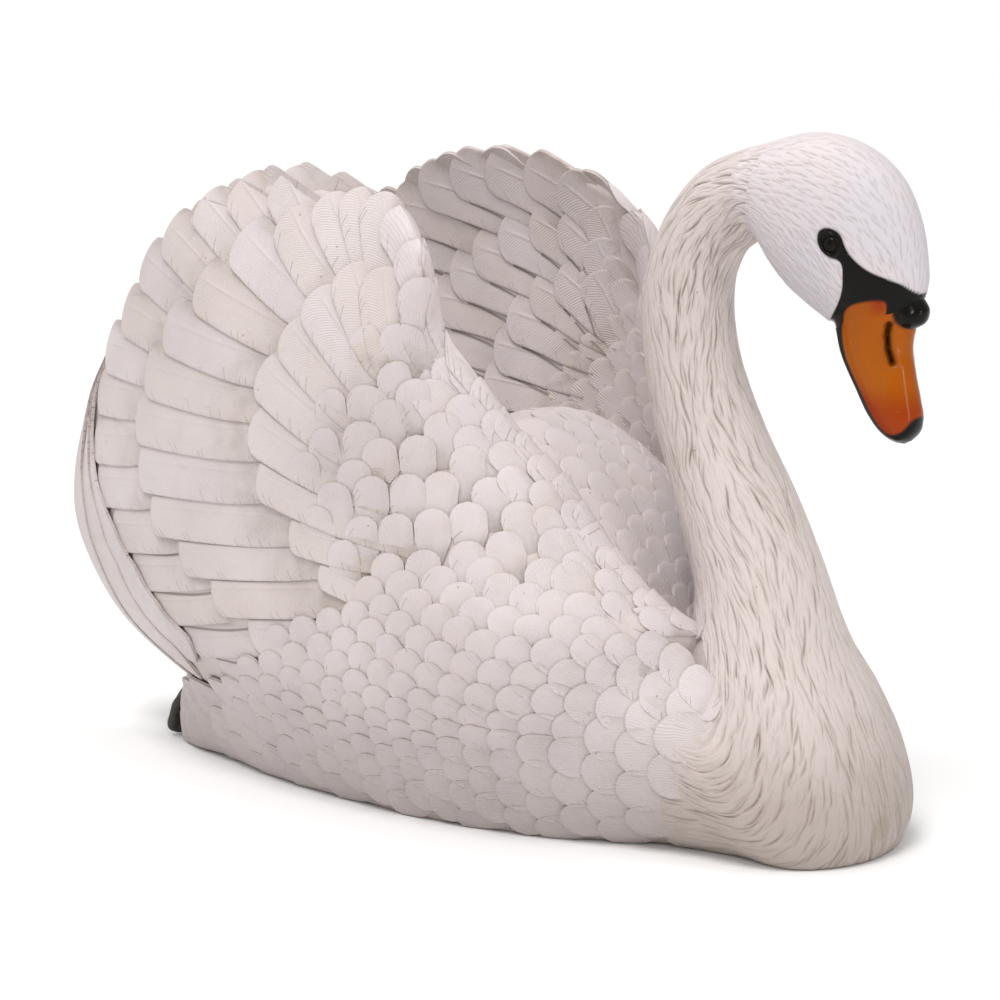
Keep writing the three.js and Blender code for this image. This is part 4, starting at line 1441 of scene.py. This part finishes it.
def tail_pieces(bare, material):
    """The tail: its loft as a skin and a fan of nine feathers on top and nine below."""
    s, turn = grid(np.linspace(0.5 * MM, TAIL.end - 8 * MM, 50), once_round(96))
    point, normal, _, _ = on_surface(TAIL.place, s, turn)
    skin = tube_piece("skin_tail", point + normal * 2.6 * MM, bare)
    shares = np.array([0.9, 0.68, 0.46, 0.23])
    parts = []
    for up in (1, -1):
        for hand, aside in ((-up, shares), (up, -shares), (1, np.zeros(1))):
            vanes = Vanes(tail_face(up), LONG_ROWS, LONG_COLUMNS, root=-2.2 * MM, tip=-0.8 * MM,
                          tilt=1.0 * MM, camber=0.5 * MM, thickness=2.0 * MM, shaft=0.5 * MM,
                          spread=0.0, hand=hand, waist=0.7)
            y = aside * 42 * MM
            x = np.interp(np.abs(y), TAIL.slices[:1:-1, 4], TAIL.slices[:1:-1, 0])
            vanes.heights["tip"] += 0.5 * MM if len(aside) == 1 else 0.0
            vanes.lay(np.stack([x, y], 1), np.pi - aside * 0.35, 80 * MM, 17 * MM, seed=91)
            parts += vanes.parts
    vanes.parts = parts
    return [skin, vanes.piece("feathers_tail", material)]


# ---------------------------------------------------------------- materials


class Paint:
    """A material in the making: its node tree, its shader and short ways to add nodes. A colour is
    given by the name of its setting."""

    def __init__(self, name):
        self.material = bpy.data.materials.new(name)
        self.material.use_nodes = True
        self.tree = self.material.node_tree
        self.shader = self.tree.nodes["Principled BSDF"]
        self.object = self.add("ShaderNodeTexCoord").outputs["Object"]

    def add(self, kind, inputs=None, **settings):
        node = self.tree.nodes.new(kind)
        for key, value in settings.items():
            setattr(node, key, value)
        for key, value in (inputs or {}).items():
            self.put(value, node.inputs[key])
        return node

    def put(self, value, socket):
        if isinstance(value, bpy.types.NodeSocket):
            self.tree.links.new(value, socket)
        elif isinstance(value, str):
            socket.default_value = (*getattr(bpy.context.scene.swan_colours, value), 1.0)
        else:
            socket.default_value = value

    def attribute(self, name):
        node = self.add("ShaderNodeAttribute", attribute_name=name, attribute_type="GEOMETRY")
        return node.outputs["Fac"]

    def parts(self, vector):
        """The outputs X, Y and Z of a vector."""
        return self.add("ShaderNodeSeparateXYZ", {"Vector": vector}).outputs

    def dice(self, colour):
        """The three channels of a random colour, as three random numbers."""
        return self.add("ShaderNodeSeparateColor", {"Color": colour}).outputs

    def noise(self, scale, detail=3.0, roughness=0.5):
        inputs = {"Vector": self.object, "Scale": scale, "Detail": detail, "Roughness": roughness}
        return self.add("ShaderNodeTexNoise", inputs).outputs["Fac"]

    def math(self, operation, a, b=0.0, clamp=False):
        node = self.add("ShaderNodeMath", {0: a, 1: b}, operation=operation, use_clamp=clamp)
        return node.outputs[0]

    def times(self, a, b):
        return self.math("MULTIPLY", a, b)

    def plus(self, a, b):
        return self.math("ADD", a, b)

    def minus(self, a, b):
        return self.math("SUBTRACT", a, b)

    def between(self, value, low, high, to_low=0.0, to_high=1.0):
        """A smooth step of a value from low to high, between two results."""
        inputs = {"Value": value, "From Min": low, "From Max": high, "To Min": to_low,
                  "To Max": to_high}
        node = self.add("ShaderNodeMapRange", inputs, interpolation_type="SMOOTHSTEP")
        return node.outputs["Result"]

    def mix(self, share, a, b):
        """Colour a going to colour b as the share goes from 0 to 1."""
        node = self.add("ShaderNodeMix", data_type="RGBA")
        colours = [socket for socket in node.inputs if socket.type == "RGBA"]
        self.put(share, node.inputs[0])
        self.put(a, colours[0])
        self.put(b, colours[1])
        return next(socket for socket in node.outputs if socket.type == "RGBA")

    def bump(self, height, distance, strength, before=None):
        """A bump of a height, its distance in mm, on top of another bump."""
        inputs = {"Height": height, "Distance": distance * MM, "Strength": strength}
        if before is not None:
            inputs["Normal"] = before
        return self.add("ShaderNodeBump", inputs).outputs["Normal"]

    def pinholes(self, scale, radius, share):
        """Sparse round holes: 1 in a hole and 0 outside, in a share of the cells of a lattice."""
        cells = self.add("ShaderNodeTexVoronoi", {"Vector": self.object, "Scale": scale})
        hole = self.between(cells.outputs["Distance"], radius, radius * 0.6)
        chosen = self.math("LESS_THAN", self.dice(cells.outputs["Color"])[0], share)
        return self.times(hole, chosen)

    def finish(self, **inputs):
        for key, value in inputs.items():
            self.put(value, self.shader.inputs[key.replace("_", " ")])
        return self.material


def resin_paint(paint, feathered=""):
    """Off-white paint on cast resin: clouded and warmer, with painted shade and some grime in
    grooves and under feathers, painted shade towards the bottom, painted shadow lines under the
    free edges of feathers, dark pinholes from air bubbles, a fine tooth, and a worn patch low on
    the breast. Long feathers have slanted barbs, and scallops a fan of them."""
    colour = paint.mix(paint.between(paint.noise(7.0, 4.0), 0.35, 0.7), "resin", "resin_shade")
    blotch = paint.noise(34.0)
    colour = paint.mix(paint.between(blotch, 0.52, 0.75, 0.0, 0.3), colour, "warm_resin_and_glint")
    # Painted shade: darker towards the bottom of the body, by height, less so on feathers.
    level = paint.plus(paint.parts(paint.object)["Z"], paint.times(blotch, 0.05))
    full, most = (0.03, 0.55) if feathered else (0.06, 0.95)
    colour = paint.mix(paint.between(level, 0.15, full, 0.0, most), colour, "base")
    if feathered:
        # Painted shadow line where a feather lies under its neighbour's free edge.
        gap = paint.attribute("gap")
        own = paint.between(paint.attribute("seed"), 0.0, 1.0, 0.0, 0.35)
        colour = paint.mix(own, colour, "warm_resin_and_glint")
        under = paint.times(paint.between(gap, -2.3, -0.3, 0.0, 0.85), paint.between(gap, 1.6, 0.2))
        colour = paint.mix(under, colour, "shadow")
    else:
        colour = paint.mix(0.4, colour, "warm_resin_and_glint")
    # Painted shade and grime by the attribute: in grooves, at vane roots and tucked edges, on rims.
    patchy = paint.between(paint.noise(60.0), 0.3, 0.7, 0.35, 0.9)
    colour = paint.mix(paint.times(paint.attribute("shade_and_grime"), patchy), colour, "shade_and_grime")
    holes = paint.pinholes(120.0, 0.10, 0.05)
    # Pinholes darkened with painted shade and grime.
    colour = paint.mix(paint.times(holes, 0.7), colour, "shade_and_grime")
    away = paint.add("ShaderNodeVectorMath", {0: paint.object, 1: WORN_PATCH}, operation="DISTANCE")
    ragged = paint.plus(away.outputs["Value"], paint.times(paint.noise(120.0, 4.0), 0.012))
    worn = paint.between(ragged, 0.019, 0.014)
    colour = paint.mix(paint.times(worn, 0.8), colour, "worn")
    normal = paint.bump(paint.noise(420.0, 4.0, roughness=0.6), 0.5, 0.6)
    normal = paint.bump(paint.noise(90.0), 0.3, 0.5, normal)
    normal = paint.bump(paint.minus(1.0, holes), 0.8, 0.8, normal)
    if feathered:
        lines, nicks = barb_lines(paint, feathered == "fan")
        normal = paint.bump(lines, 0.3, 0.5, normal)
        normal = paint.bump(paint.minus(1.0, nicks), 0.6, 0.7, normal)
        # Nicks darkened with painted shade and grime.
        colour = paint.mix(paint.times(nicks, 0.75), colour, "shade_and_grime")
    rough = paint.between(paint.noise(90.0), 0.3, 0.7, 0.42, 0.56)
    return paint.finish(Base_Color=colour, Roughness=rough, Normal=normal)


def barb_lines(paint, fanned):
    """Barbs, slanted from the shaft and 2.4 mm apart or in a fan from the root, and nicks cut in
    from the free edge: slanted lines 0.35 mm wide and up to 10 mm long, one to a stretch of 9 mm in
    about half the stretches."""
    place = paint.parts(paint.add("ShaderNodeUVMap", uv_map="lie").outputs[0])
    across = paint.times(paint.minus(place["X"], 0.5), 0.2)
    along = paint.times(place["Y"], 0.2)
    wander = paint.times(paint.noise(70.0, 2.0), 0.002)
    if fanned:
        turn = paint.math("DIVIDE", across, paint.plus(along, 0.008))
        phase = paint.times(paint.plus(turn, paint.times(wander, 40.0)), 150.0)
    else:
        slant = paint.minus(along, paint.times(paint.math("ABSOLUTE", across), 0.8))
        phase = paint.times(paint.plus(slant, wander), 2600.0)
    patchy = paint.between(paint.noise(30.0, 2.0), 0.3, 0.7, 0.3, 1.0)
    lines = paint.times(paint.math("SINE", phase), patchy)

    seed, edge = paint.attribute("seed"), paint.attribute("edge")
    slanted = paint.times(paint.minus(along, paint.times(edge, 0.5)), 111.0)
    at = paint.plus(slanted, paint.times(seed, 71.0))
    cell = paint.math("FLOOR", at)
    cast = paint.add("ShaderNodeTexWhiteNoise", {"W": cell}, noise_dimensions="1D")
    dice = paint.dice(cast.outputs["Color"])
    centre = paint.plus(paint.times(dice[0], 0.7), 0.15)
    line = paint.between(paint.math("ABSOLUTE", paint.minus(paint.math("FRACT", at), centre)),
                         0.045, 0.022)
    near_edge = paint.math("LESS_THAN", edge, paint.times(dice[1], 0.010))
    chosen = paint.math("LESS_THAN", dice[2], 0.6)
    return lines, paint.times(paint.times(line, near_edge), chosen)


def head_paint(paint):
    """White over fine grooves, glossy black on the mask and orange at the bill."""
    white = paint.mix(paint.between(paint.noise(14.0), 0.35, 0.7), "head", "resin")
    neck = paint.between(paint.parts(paint.object)["X"], 0.235, 0.185)
    white = paint.mix(neck, white, "resin")
    # Painted shade and grime in the grooves.
    white = paint.mix(paint.times(paint.attribute("shade_and_grime"), 0.55), white, "shade_and_grime")
    return glossy_layers(paint, white, 0.46)


def bill_paint(paint):
    """Glossy orange that reddens to its edges, with black at the gape and nail."""
    return glossy_layers(paint, "black", 0.2)


def glossy_layers(paint, ground, ground_rough):
    """Orange and black glossy paint over a ground, by the piece's attributes, with air bubbles."""
    orange, black, red = (paint.attribute(key) for key in ("orange", "black", "red"))
    thick = paint.between(paint.noise(45.0, 2.0), 0.3, 0.7, 0.0, 0.35)
    warm = paint.mix(red, paint.mix(thick, "orange", "orange_deep"), "orange_red")
    colour = paint.mix(orange, paint.mix(black, ground, "black"), warm)
    covered = paint.math("ADD", orange, black, clamp=True)
    holes = paint.times(paint.pinholes(210.0, 0.11, 0.09), covered)
    # Painted glint: light specks on the raised bubbles.
    colour = paint.mix(paint.times(holes, 0.35), colour, "warm_resin_and_glint")
    rough = paint.minus(ground_rough, paint.times(covered, ground_rough - 0.14))
    tooth = paint.times(paint.noise(480.0), paint.minus(1.0, covered))
    normal = paint.bump(paint.noise(38.0, 2.0), 0.5, 0.35)
    normal = paint.bump(tooth, 0.25, 0.5, normal)
    normal = paint.bump(holes, 0.5, 0.9, normal)
    return paint.finish(Base_Color=colour, Roughness=rough, Normal=normal, Specular_IOR_Level=0.14)


def black_paint(paint):
    """Glossy black with fine bubbles, brown where it is thin."""
    colour = paint.mix(paint.between(paint.noise(60.0), 0.45, 0.75), "black", "black_thin")
    holes = paint.pinholes(240.0, 0.12, 0.12)
    # Painted glint: light specks on the raised bubbles.
    colour = paint.mix(paint.times(holes, 0.4), colour, "warm_resin_and_glint")
    normal = paint.bump(paint.noise(70.0, 2.0), 0.5, 0.4)
    normal = paint.bump(holes, 0.5, 0.8, normal)
    rough = paint.between(paint.noise(80.0, 2.0), 0.3, 0.7, 0.12, 0.22)
    return paint.finish(Base_Color=colour, Roughness=rough, Normal=normal, Specular_IOR_Level=0.14)


def wet_eye(paint):
    """A dark, wet-looking eye: nearly black with a brown ring."""
    place = paint.parts(paint.object)
    x, z = (paint.minus(place[axis], middle) for axis, middle in (("X", EYE[0]), ("Z", EYE[2])))
    away = paint.math("SQRT", paint.plus(paint.times(x, x), paint.times(z, z)))
    colour = paint.mix(paint.between(away, 0.0034, 0.0042), "black", "eye")
    colour = paint.mix(paint.between(away, 0.0058, 0.0066), colour, "black")
    return paint.finish(Base_Color=colour, Roughness=0.05, Specular_IOR_Level=0.12)


def foot_paint(paint):
    """Matt black-brown rubbery paint with a pebbled skin."""
    colour = paint.mix(paint.between(paint.noise(80.0), 0.35, 0.7), "foot", "foot_worn")
    # Darker between the toes: painted shade and grime.
    colour = paint.mix(paint.times(paint.attribute("shade_and_grime"), 0.5), colour, "black")
    cells = paint.add("ShaderNodeTexVoronoi", {"Vector": paint.object, "Scale": 420.0})
    normal = paint.bump(cells.outputs["Distance"], 0.5, 0.6)
    return paint.finish(Base_Color=colour, Roughness=0.55, Normal=normal)


def floor_paint(paint):
    return paint.finish(Base_Color="floor", Roughness=0.9)


MAKERS = {
    "painted_resin": resin_paint, "painted_head": head_paint, "painted_bill": bill_paint,
    "painted_black": black_paint, "wet_eye": wet_eye, "painted_foot": foot_paint,
    "pale_floor": floor_paint,
    "painted_feathers": lambda paint: resin_paint(paint, "long"),
    "painted_scallops": lambda paint: resin_paint(paint, "fan"),
}


def material(kind):
    """The material of one finish, made once and then found again by its name."""
    return bpy.data.materials.get(kind) or MAKERS[kind](Paint(kind))


# ---------------------------------------------------------------- settings


def length_setting(name, description, default):
    return FloatProperty(name=name, description=description, default=default, min=0.0,
                         unit="LENGTH")


def colour_setting(name, description, default):
    return FloatVectorProperty(name=name, description=description, default=default, size=3, min=0.0,
                               max=1.0, subtype="COLOR")


class SwanSizes(bpy.types.PropertyGroup):
    strand_depth: length_setting("Strand depth", "Depth of the grooves on the neck", 1.7 * MM)
    head_depth: length_setting("Head groove depth", "Depth of the grooves on the head", 0.65 * MM)
    skin_inset: length_setting("Skin inset", "How far the skin lies inside the solids", 2.6 * MM)
    floor_width: length_setting("Floor width", "Side of the square floor", 24.0)


class SwanColours(bpy.types.PropertyGroup):
    resin: colour_setting("Resin", "Off-white paint", (0.605, 0.542, 0.545))
    resin_shade: colour_setting("Resin, clouded", "Where it is thinner", (0.54, 0.478, 0.478))
    # Yellowed paint, and also the painted glint on the bubbles of the black and orange paint.
    warm_resin_and_glint: colour_setting("Resin, warm", "Yellowed paint", (0.55, 0.465, 0.41))
    # Colour of the painted shade and grime in grooves, under feathers, in pinholes and in nicks.
    shade_and_grime: colour_setting("Grime", "Paint in the grooves", (0.30, 0.245, 0.205))
    shadow: colour_setting("Shadow line", "Under the edges of feathers", (0.17, 0.145, 0.125))
    # Colour of the painted shade towards the bottom of the body.
    base: colour_setting("Base", "Paint low on the body", (0.28, 0.235, 0.225))
    worn: colour_setting("Worn", "Bare resin of the worn patch", (0.33, 0.27, 0.22))
    head: colour_setting("Head", "White paint of the head", (0.56, 0.525, 0.56))
    orange: colour_setting("Orange", "Bill", (0.345, 0.082, 0.0008))
    orange_deep: colour_setting("Deep orange", "Bill in thick paint", (0.29, 0.055, 0.0008))
    orange_red: colour_setting("Red-orange", "Edges of the bill", (0.27, 0.028, 0.001))
    black: colour_setting("Black", "Mask, knob and nail", (0.003, 0.0025, 0.002))
    black_thin: colour_setting("Thin black", "Where the paint is thin", (0.010, 0.008, 0.005))
    eye: colour_setting("Eye", "Iris", (0.007, 0.004, 0.003))
    foot: colour_setting("Foot", "Foot", (0.03, 0.026, 0.02))
    foot_worn: colour_setting("Foot, worn", "Foot where it is rubbed", (0.07, 0.06, 0.048))
    floor: colour_setting("Floor", "Floor", (0.96, 0.96, 0.96))


# ---------------------------------------------------------------- operators


class SWAN_OT_skins(bpy.types.Operator):
    """Make the skin of the whole body and of both wings"""

    bl_idname = "swan.skins"
    bl_label = "Skins"

    def execute(self, context):
        skin = body_skin(material("painted_resin"), context.scene.swan_sizes.skin_inset)
        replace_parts(skin, "trunk", "neck_lower", "neck_upper", "head")
        for label, side in SIDES:
            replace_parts(wing_skin(side, label, material("painted_resin")), "wing_" + label)
        return {"FINISHED"}


class SWAN_OT_strands(bpy.types.Operator):
    """Carve the strands of the breast, neck and head"""

    bl_idname = "swan.strands"
    bl_label = "Strands"

    def execute(self, context):
        sizes = context.scene.swan_sizes
        strands = Strands(sizes.strand_depth, sizes.head_depth)
        neck = BODY.knots[NECK_START] + NECK_SEAM
        head = BODY.knots[HEAD_START] - HEAD_SEAM
        middle = (neck + head) / 2

        def level(s):
            return lambda turn: np.full(np.shape(turn), s)

        def half_way(turn):
            return (strand_start(turn) + neck) / 2

        breast, column = ((98, 980), ("trunk",)), ((184, 520), ("neck_lower", "neck_upper"))
        for name, low, high, (size, nodes) in (
            ("breast_low", strand_start, half_way, breast),
            ("breast_high", half_way, level(neck), breast),
            ("neck_low", level(neck), level(middle), column),
            ("neck_high", level(middle), level(head), column),
        ):
            piece = coat_piece("coat_" + name, strands, low, high, size, material("painted_resin"),
                               dips=low is strand_start)
            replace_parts(piece, *nodes)
        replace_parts(head_coat(strands, material("painted_head")), "head")
        return {"FINISHED"}


class SWAN_OT_scallops(bpy.types.Operator):
    """Lay the scallops on the flanks, back, wing edges and inner wings"""

    bl_idname = "swan.scallops"
    bl_label = "Scallops"

    def execute(self, context):
        made = material("painted_scallops")
        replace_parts(mantle_scallops(made), "trunk")
        for label, side in SIDES:
            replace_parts(flank_scallops(side, label, made), "trunk", "wing_" + label)
            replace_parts(crest_scallops(side, label, made), "wing_" + label)
            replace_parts(hollow_scallops(side, label, made), "wing_" + label)
        return {"FINISHED"}


class SWAN_OT_feathers(bpy.types.Operator):
    """Lay the long feathers on both faces of the wings"""

    bl_idname = "swan.feathers"
    bl_label = "Long feathers"

    def execute(self, context):
        for label, side in SIDES:
            made = material("painted_feathers")
            for piece in long_feathers(side, label, made) + hollow_feathers(side, label, made):
                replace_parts(piece, "wing_" + label)
        return {"FINISHED"}


class SWAN_OT_bill(bpy.types.Operator):
    """Make the bill's two sheaths and the knob above it"""

    bl_idname = "swan.bill"
    bl_label = "Bill"

    def execute(self, context):
        black = material("painted_black")
        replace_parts(bill_piece("bill_sheath", True, material("painted_bill")), "bill_upper")
        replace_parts(bill_piece("bill_lower_sheath", False, black), "bill_lower")

        def lumps(way):
            return 0.5 * MM * np.sin(5 * way[..., 0] + 2) * np.sin(6 * way[..., 2])

        centre = (KNOB[0], 0.0, KNOB[1])
        knob = ball_piece("knob", centre, KNOB_RADII, black, lumps)
        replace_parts(knob, "bill_knob")
        return {"FINISHED"}


class SWAN_OT_eyes(bpy.types.Operator):
    """Make the eyes and their lids"""

    bl_idname = "swan.eyes"
    bl_label = "Eyes"

    def execute(self, context):
        for label, side in SIDES:
            centre = (EYE[0], side * (EYE[1] + 0.4 * MM), EYE[2])
            ball = ball_piece(
                "eyeball_" + label, centre, EYEBALL_RADII, material("wet_eye"))
            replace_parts(ball, "eye_" + label)
            lid = lid_piece("lid_" + label, side, material("painted_black"))
            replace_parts(lid, "eye_" + label)
        return {"FINISHED"}


class SWAN_OT_tail(bpy.types.Operator):
    """Make the tail and its feathers"""

    bl_idname = "swan.tail"
    bl_label = "Tail"

    def execute(self, context):
        for piece in tail_pieces(material("painted_resin"), material("painted_feathers")):
            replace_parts(piece, "tail")
        return {"FINISHED"}


class SWAN_OT_feet(bpy.types.Operator):
    """Make the webbed feet"""

    bl_idname = "swan.feet"
    bl_label = "Feet"

    def execute(self, context):
        for label, side in SIDES:
            web = foot_piece("web_" + label, side, material("painted_foot"))
            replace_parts(web, "foot_" + label)
        return {"FINISHED"}


def aimed(name, data, place, back):
    """An object that looks against a direction, put in the scene."""
    made = bpy.data.objects.new(name, data)
    made.location = place
    made.rotation_euler = Vector(back).to_track_quat("Z", "Y").to_euler()
    bpy.context.scene.collection.objects.link(made)
    return made


def lamp_panel(name, place, target, width, height, power):
    """A small oblong lamp that shows as a crisp highlight in gloss."""
    lamp = bpy.data.lights.new(name, "AREA")
    lamp.shape, lamp.size, lamp.size_y, lamp.energy = "RECTANGLE", width, height, power
    aimed(name, lamp, place, Vector(place) - Vector(target))


def sun_light(name, direction, spread, strength, colour):
    """A very soft, even light from a direction; spread is its width in degrees."""
    lamp = bpy.data.lights.new(name, "SUN")
    lamp.angle, lamp.energy, lamp.color = math.radians(spread), strength, colour
    aimed(name, lamp, Vector(direction) * 3, direction)


def square_floor(width):
    """The stage's floor, a pale square at height 0."""
    half = width / 2
    corners = [(-half, -half, 0), (half, -half, 0), (half, half, 0), (-half, half, 0)]
    mesh = bpy.data.meshes.new("floor")
    mesh.from_pydata(corners, [], [(0, 1, 2, 3)])
    mesh.materials.append(material("pale_floor"))
    floor = bpy.data.objects.new("floor", mesh)
    bpy.context.scene.collection.objects.link(floor)
    return floor


def pale_world():
    """An even white light from all round."""
    world = bpy.data.worlds.new("pale_room")
    world.use_nodes = True
    background = world.node_tree.nodes["Background"]
    background.inputs["Color"].default_value = (1, 1, 1, 1)
    background.inputs["Strength"].default_value = 0.6
    return world


class SWAN_OT_stage(bpy.types.Operator):
    """Set up the floor, the soft lights and the camera"""

    bl_idname = "swan.stage"
    bl_label = "Stage"

    def execute(self, context):
        scene = context.scene
        square_floor(scene.swan_sizes.floor_width)

        bearing, height = (math.radians(angle) for angle in CAMERA_ANGLES)
        back = Vector((math.sin(bearing) * math.cos(height),
                       -math.cos(bearing) * math.cos(height), math.sin(height)))
        lens = bpy.data.cameras.new("camera")
        lens.lens, lens.sensor_width = CAMERA_LENS, 36.0
        scene.camera = aimed("camera", lens, Vector(CAMERA_TARGET) + back * CAMERA_REACH, back)

        sun_light("key", (0.15, -0.8, 1.5), 24, 1.5, (1.0, 0.985, 0.97))
        lamp_panel("gloss", (1.9, -2.1, 1.5), (0.3, 0, 0.4), 0.22, 0.22, 9.0)
        lamp_panel("overhead", (-0.05, -0.05, 1.25), (-0.08, 0.03, 0.2), 0.5, 0.5, 3.0)
        lamp_panel("strip", (2.27, -0.28, 0.55), (0.32, -0.01, 0.37), 0.22, 0.8, 5.0)
        sun_light("side", (-1.0, -0.5, 0.75), 60, 0.35, (0.97, 0.985, 1.0))
        scene.world = pale_world()
        scene.view_settings.view_transform = "Standard"
        return {"FINISHED"}


STEPS = ("stage", "skins", "strands", "scallops", "feathers", "bill", "eyes", "tail", "feet")


class SWAN_PT_panel(bpy.types.Panel):
    """The steps that make the swan, in order"""

    bl_idname = "SWAN_PT_panel"
    bl_label = "Resin swan"
    bl_space_type = "VIEW_3D"
    bl_region_type = "UI"
    bl_category = "Swan"

    def draw(self, context):
        for step in STEPS:
            self.layout.operator("swan." + step)
        for group in (context.scene.swan_sizes, context.scene.swan_colours):
            for key in group.__annotations__:
                self.layout.prop(group, key)


CLASSES = (
    SwanSizes, SwanColours, SWAN_OT_stage, SWAN_OT_skins, SWAN_OT_strands, SWAN_OT_scallops,
    SWAN_OT_feathers, SWAN_OT_bill, SWAN_OT_eyes, SWAN_OT_tail, SWAN_OT_feet, SWAN_PT_panel,
)


def register():
    for cls in CLASSES:
        bpy.utils.register_class(cls)
    bpy.types.Scene.swan_sizes = PointerProperty(type=SwanSizes)
    bpy.types.Scene.swan_colours = PointerProperty(type=SwanColours)


def unregister():
    del bpy.types.Scene.swan_colours
    del bpy.types.Scene.swan_sizes
    for cls in reversed(CLASSES):
        bpy.utils.unregister_class(cls)


def main():
    register()
    for step in STEPS:
        getattr(bpy.ops.swan, step)()


if __name__ == "__main__":
    main()
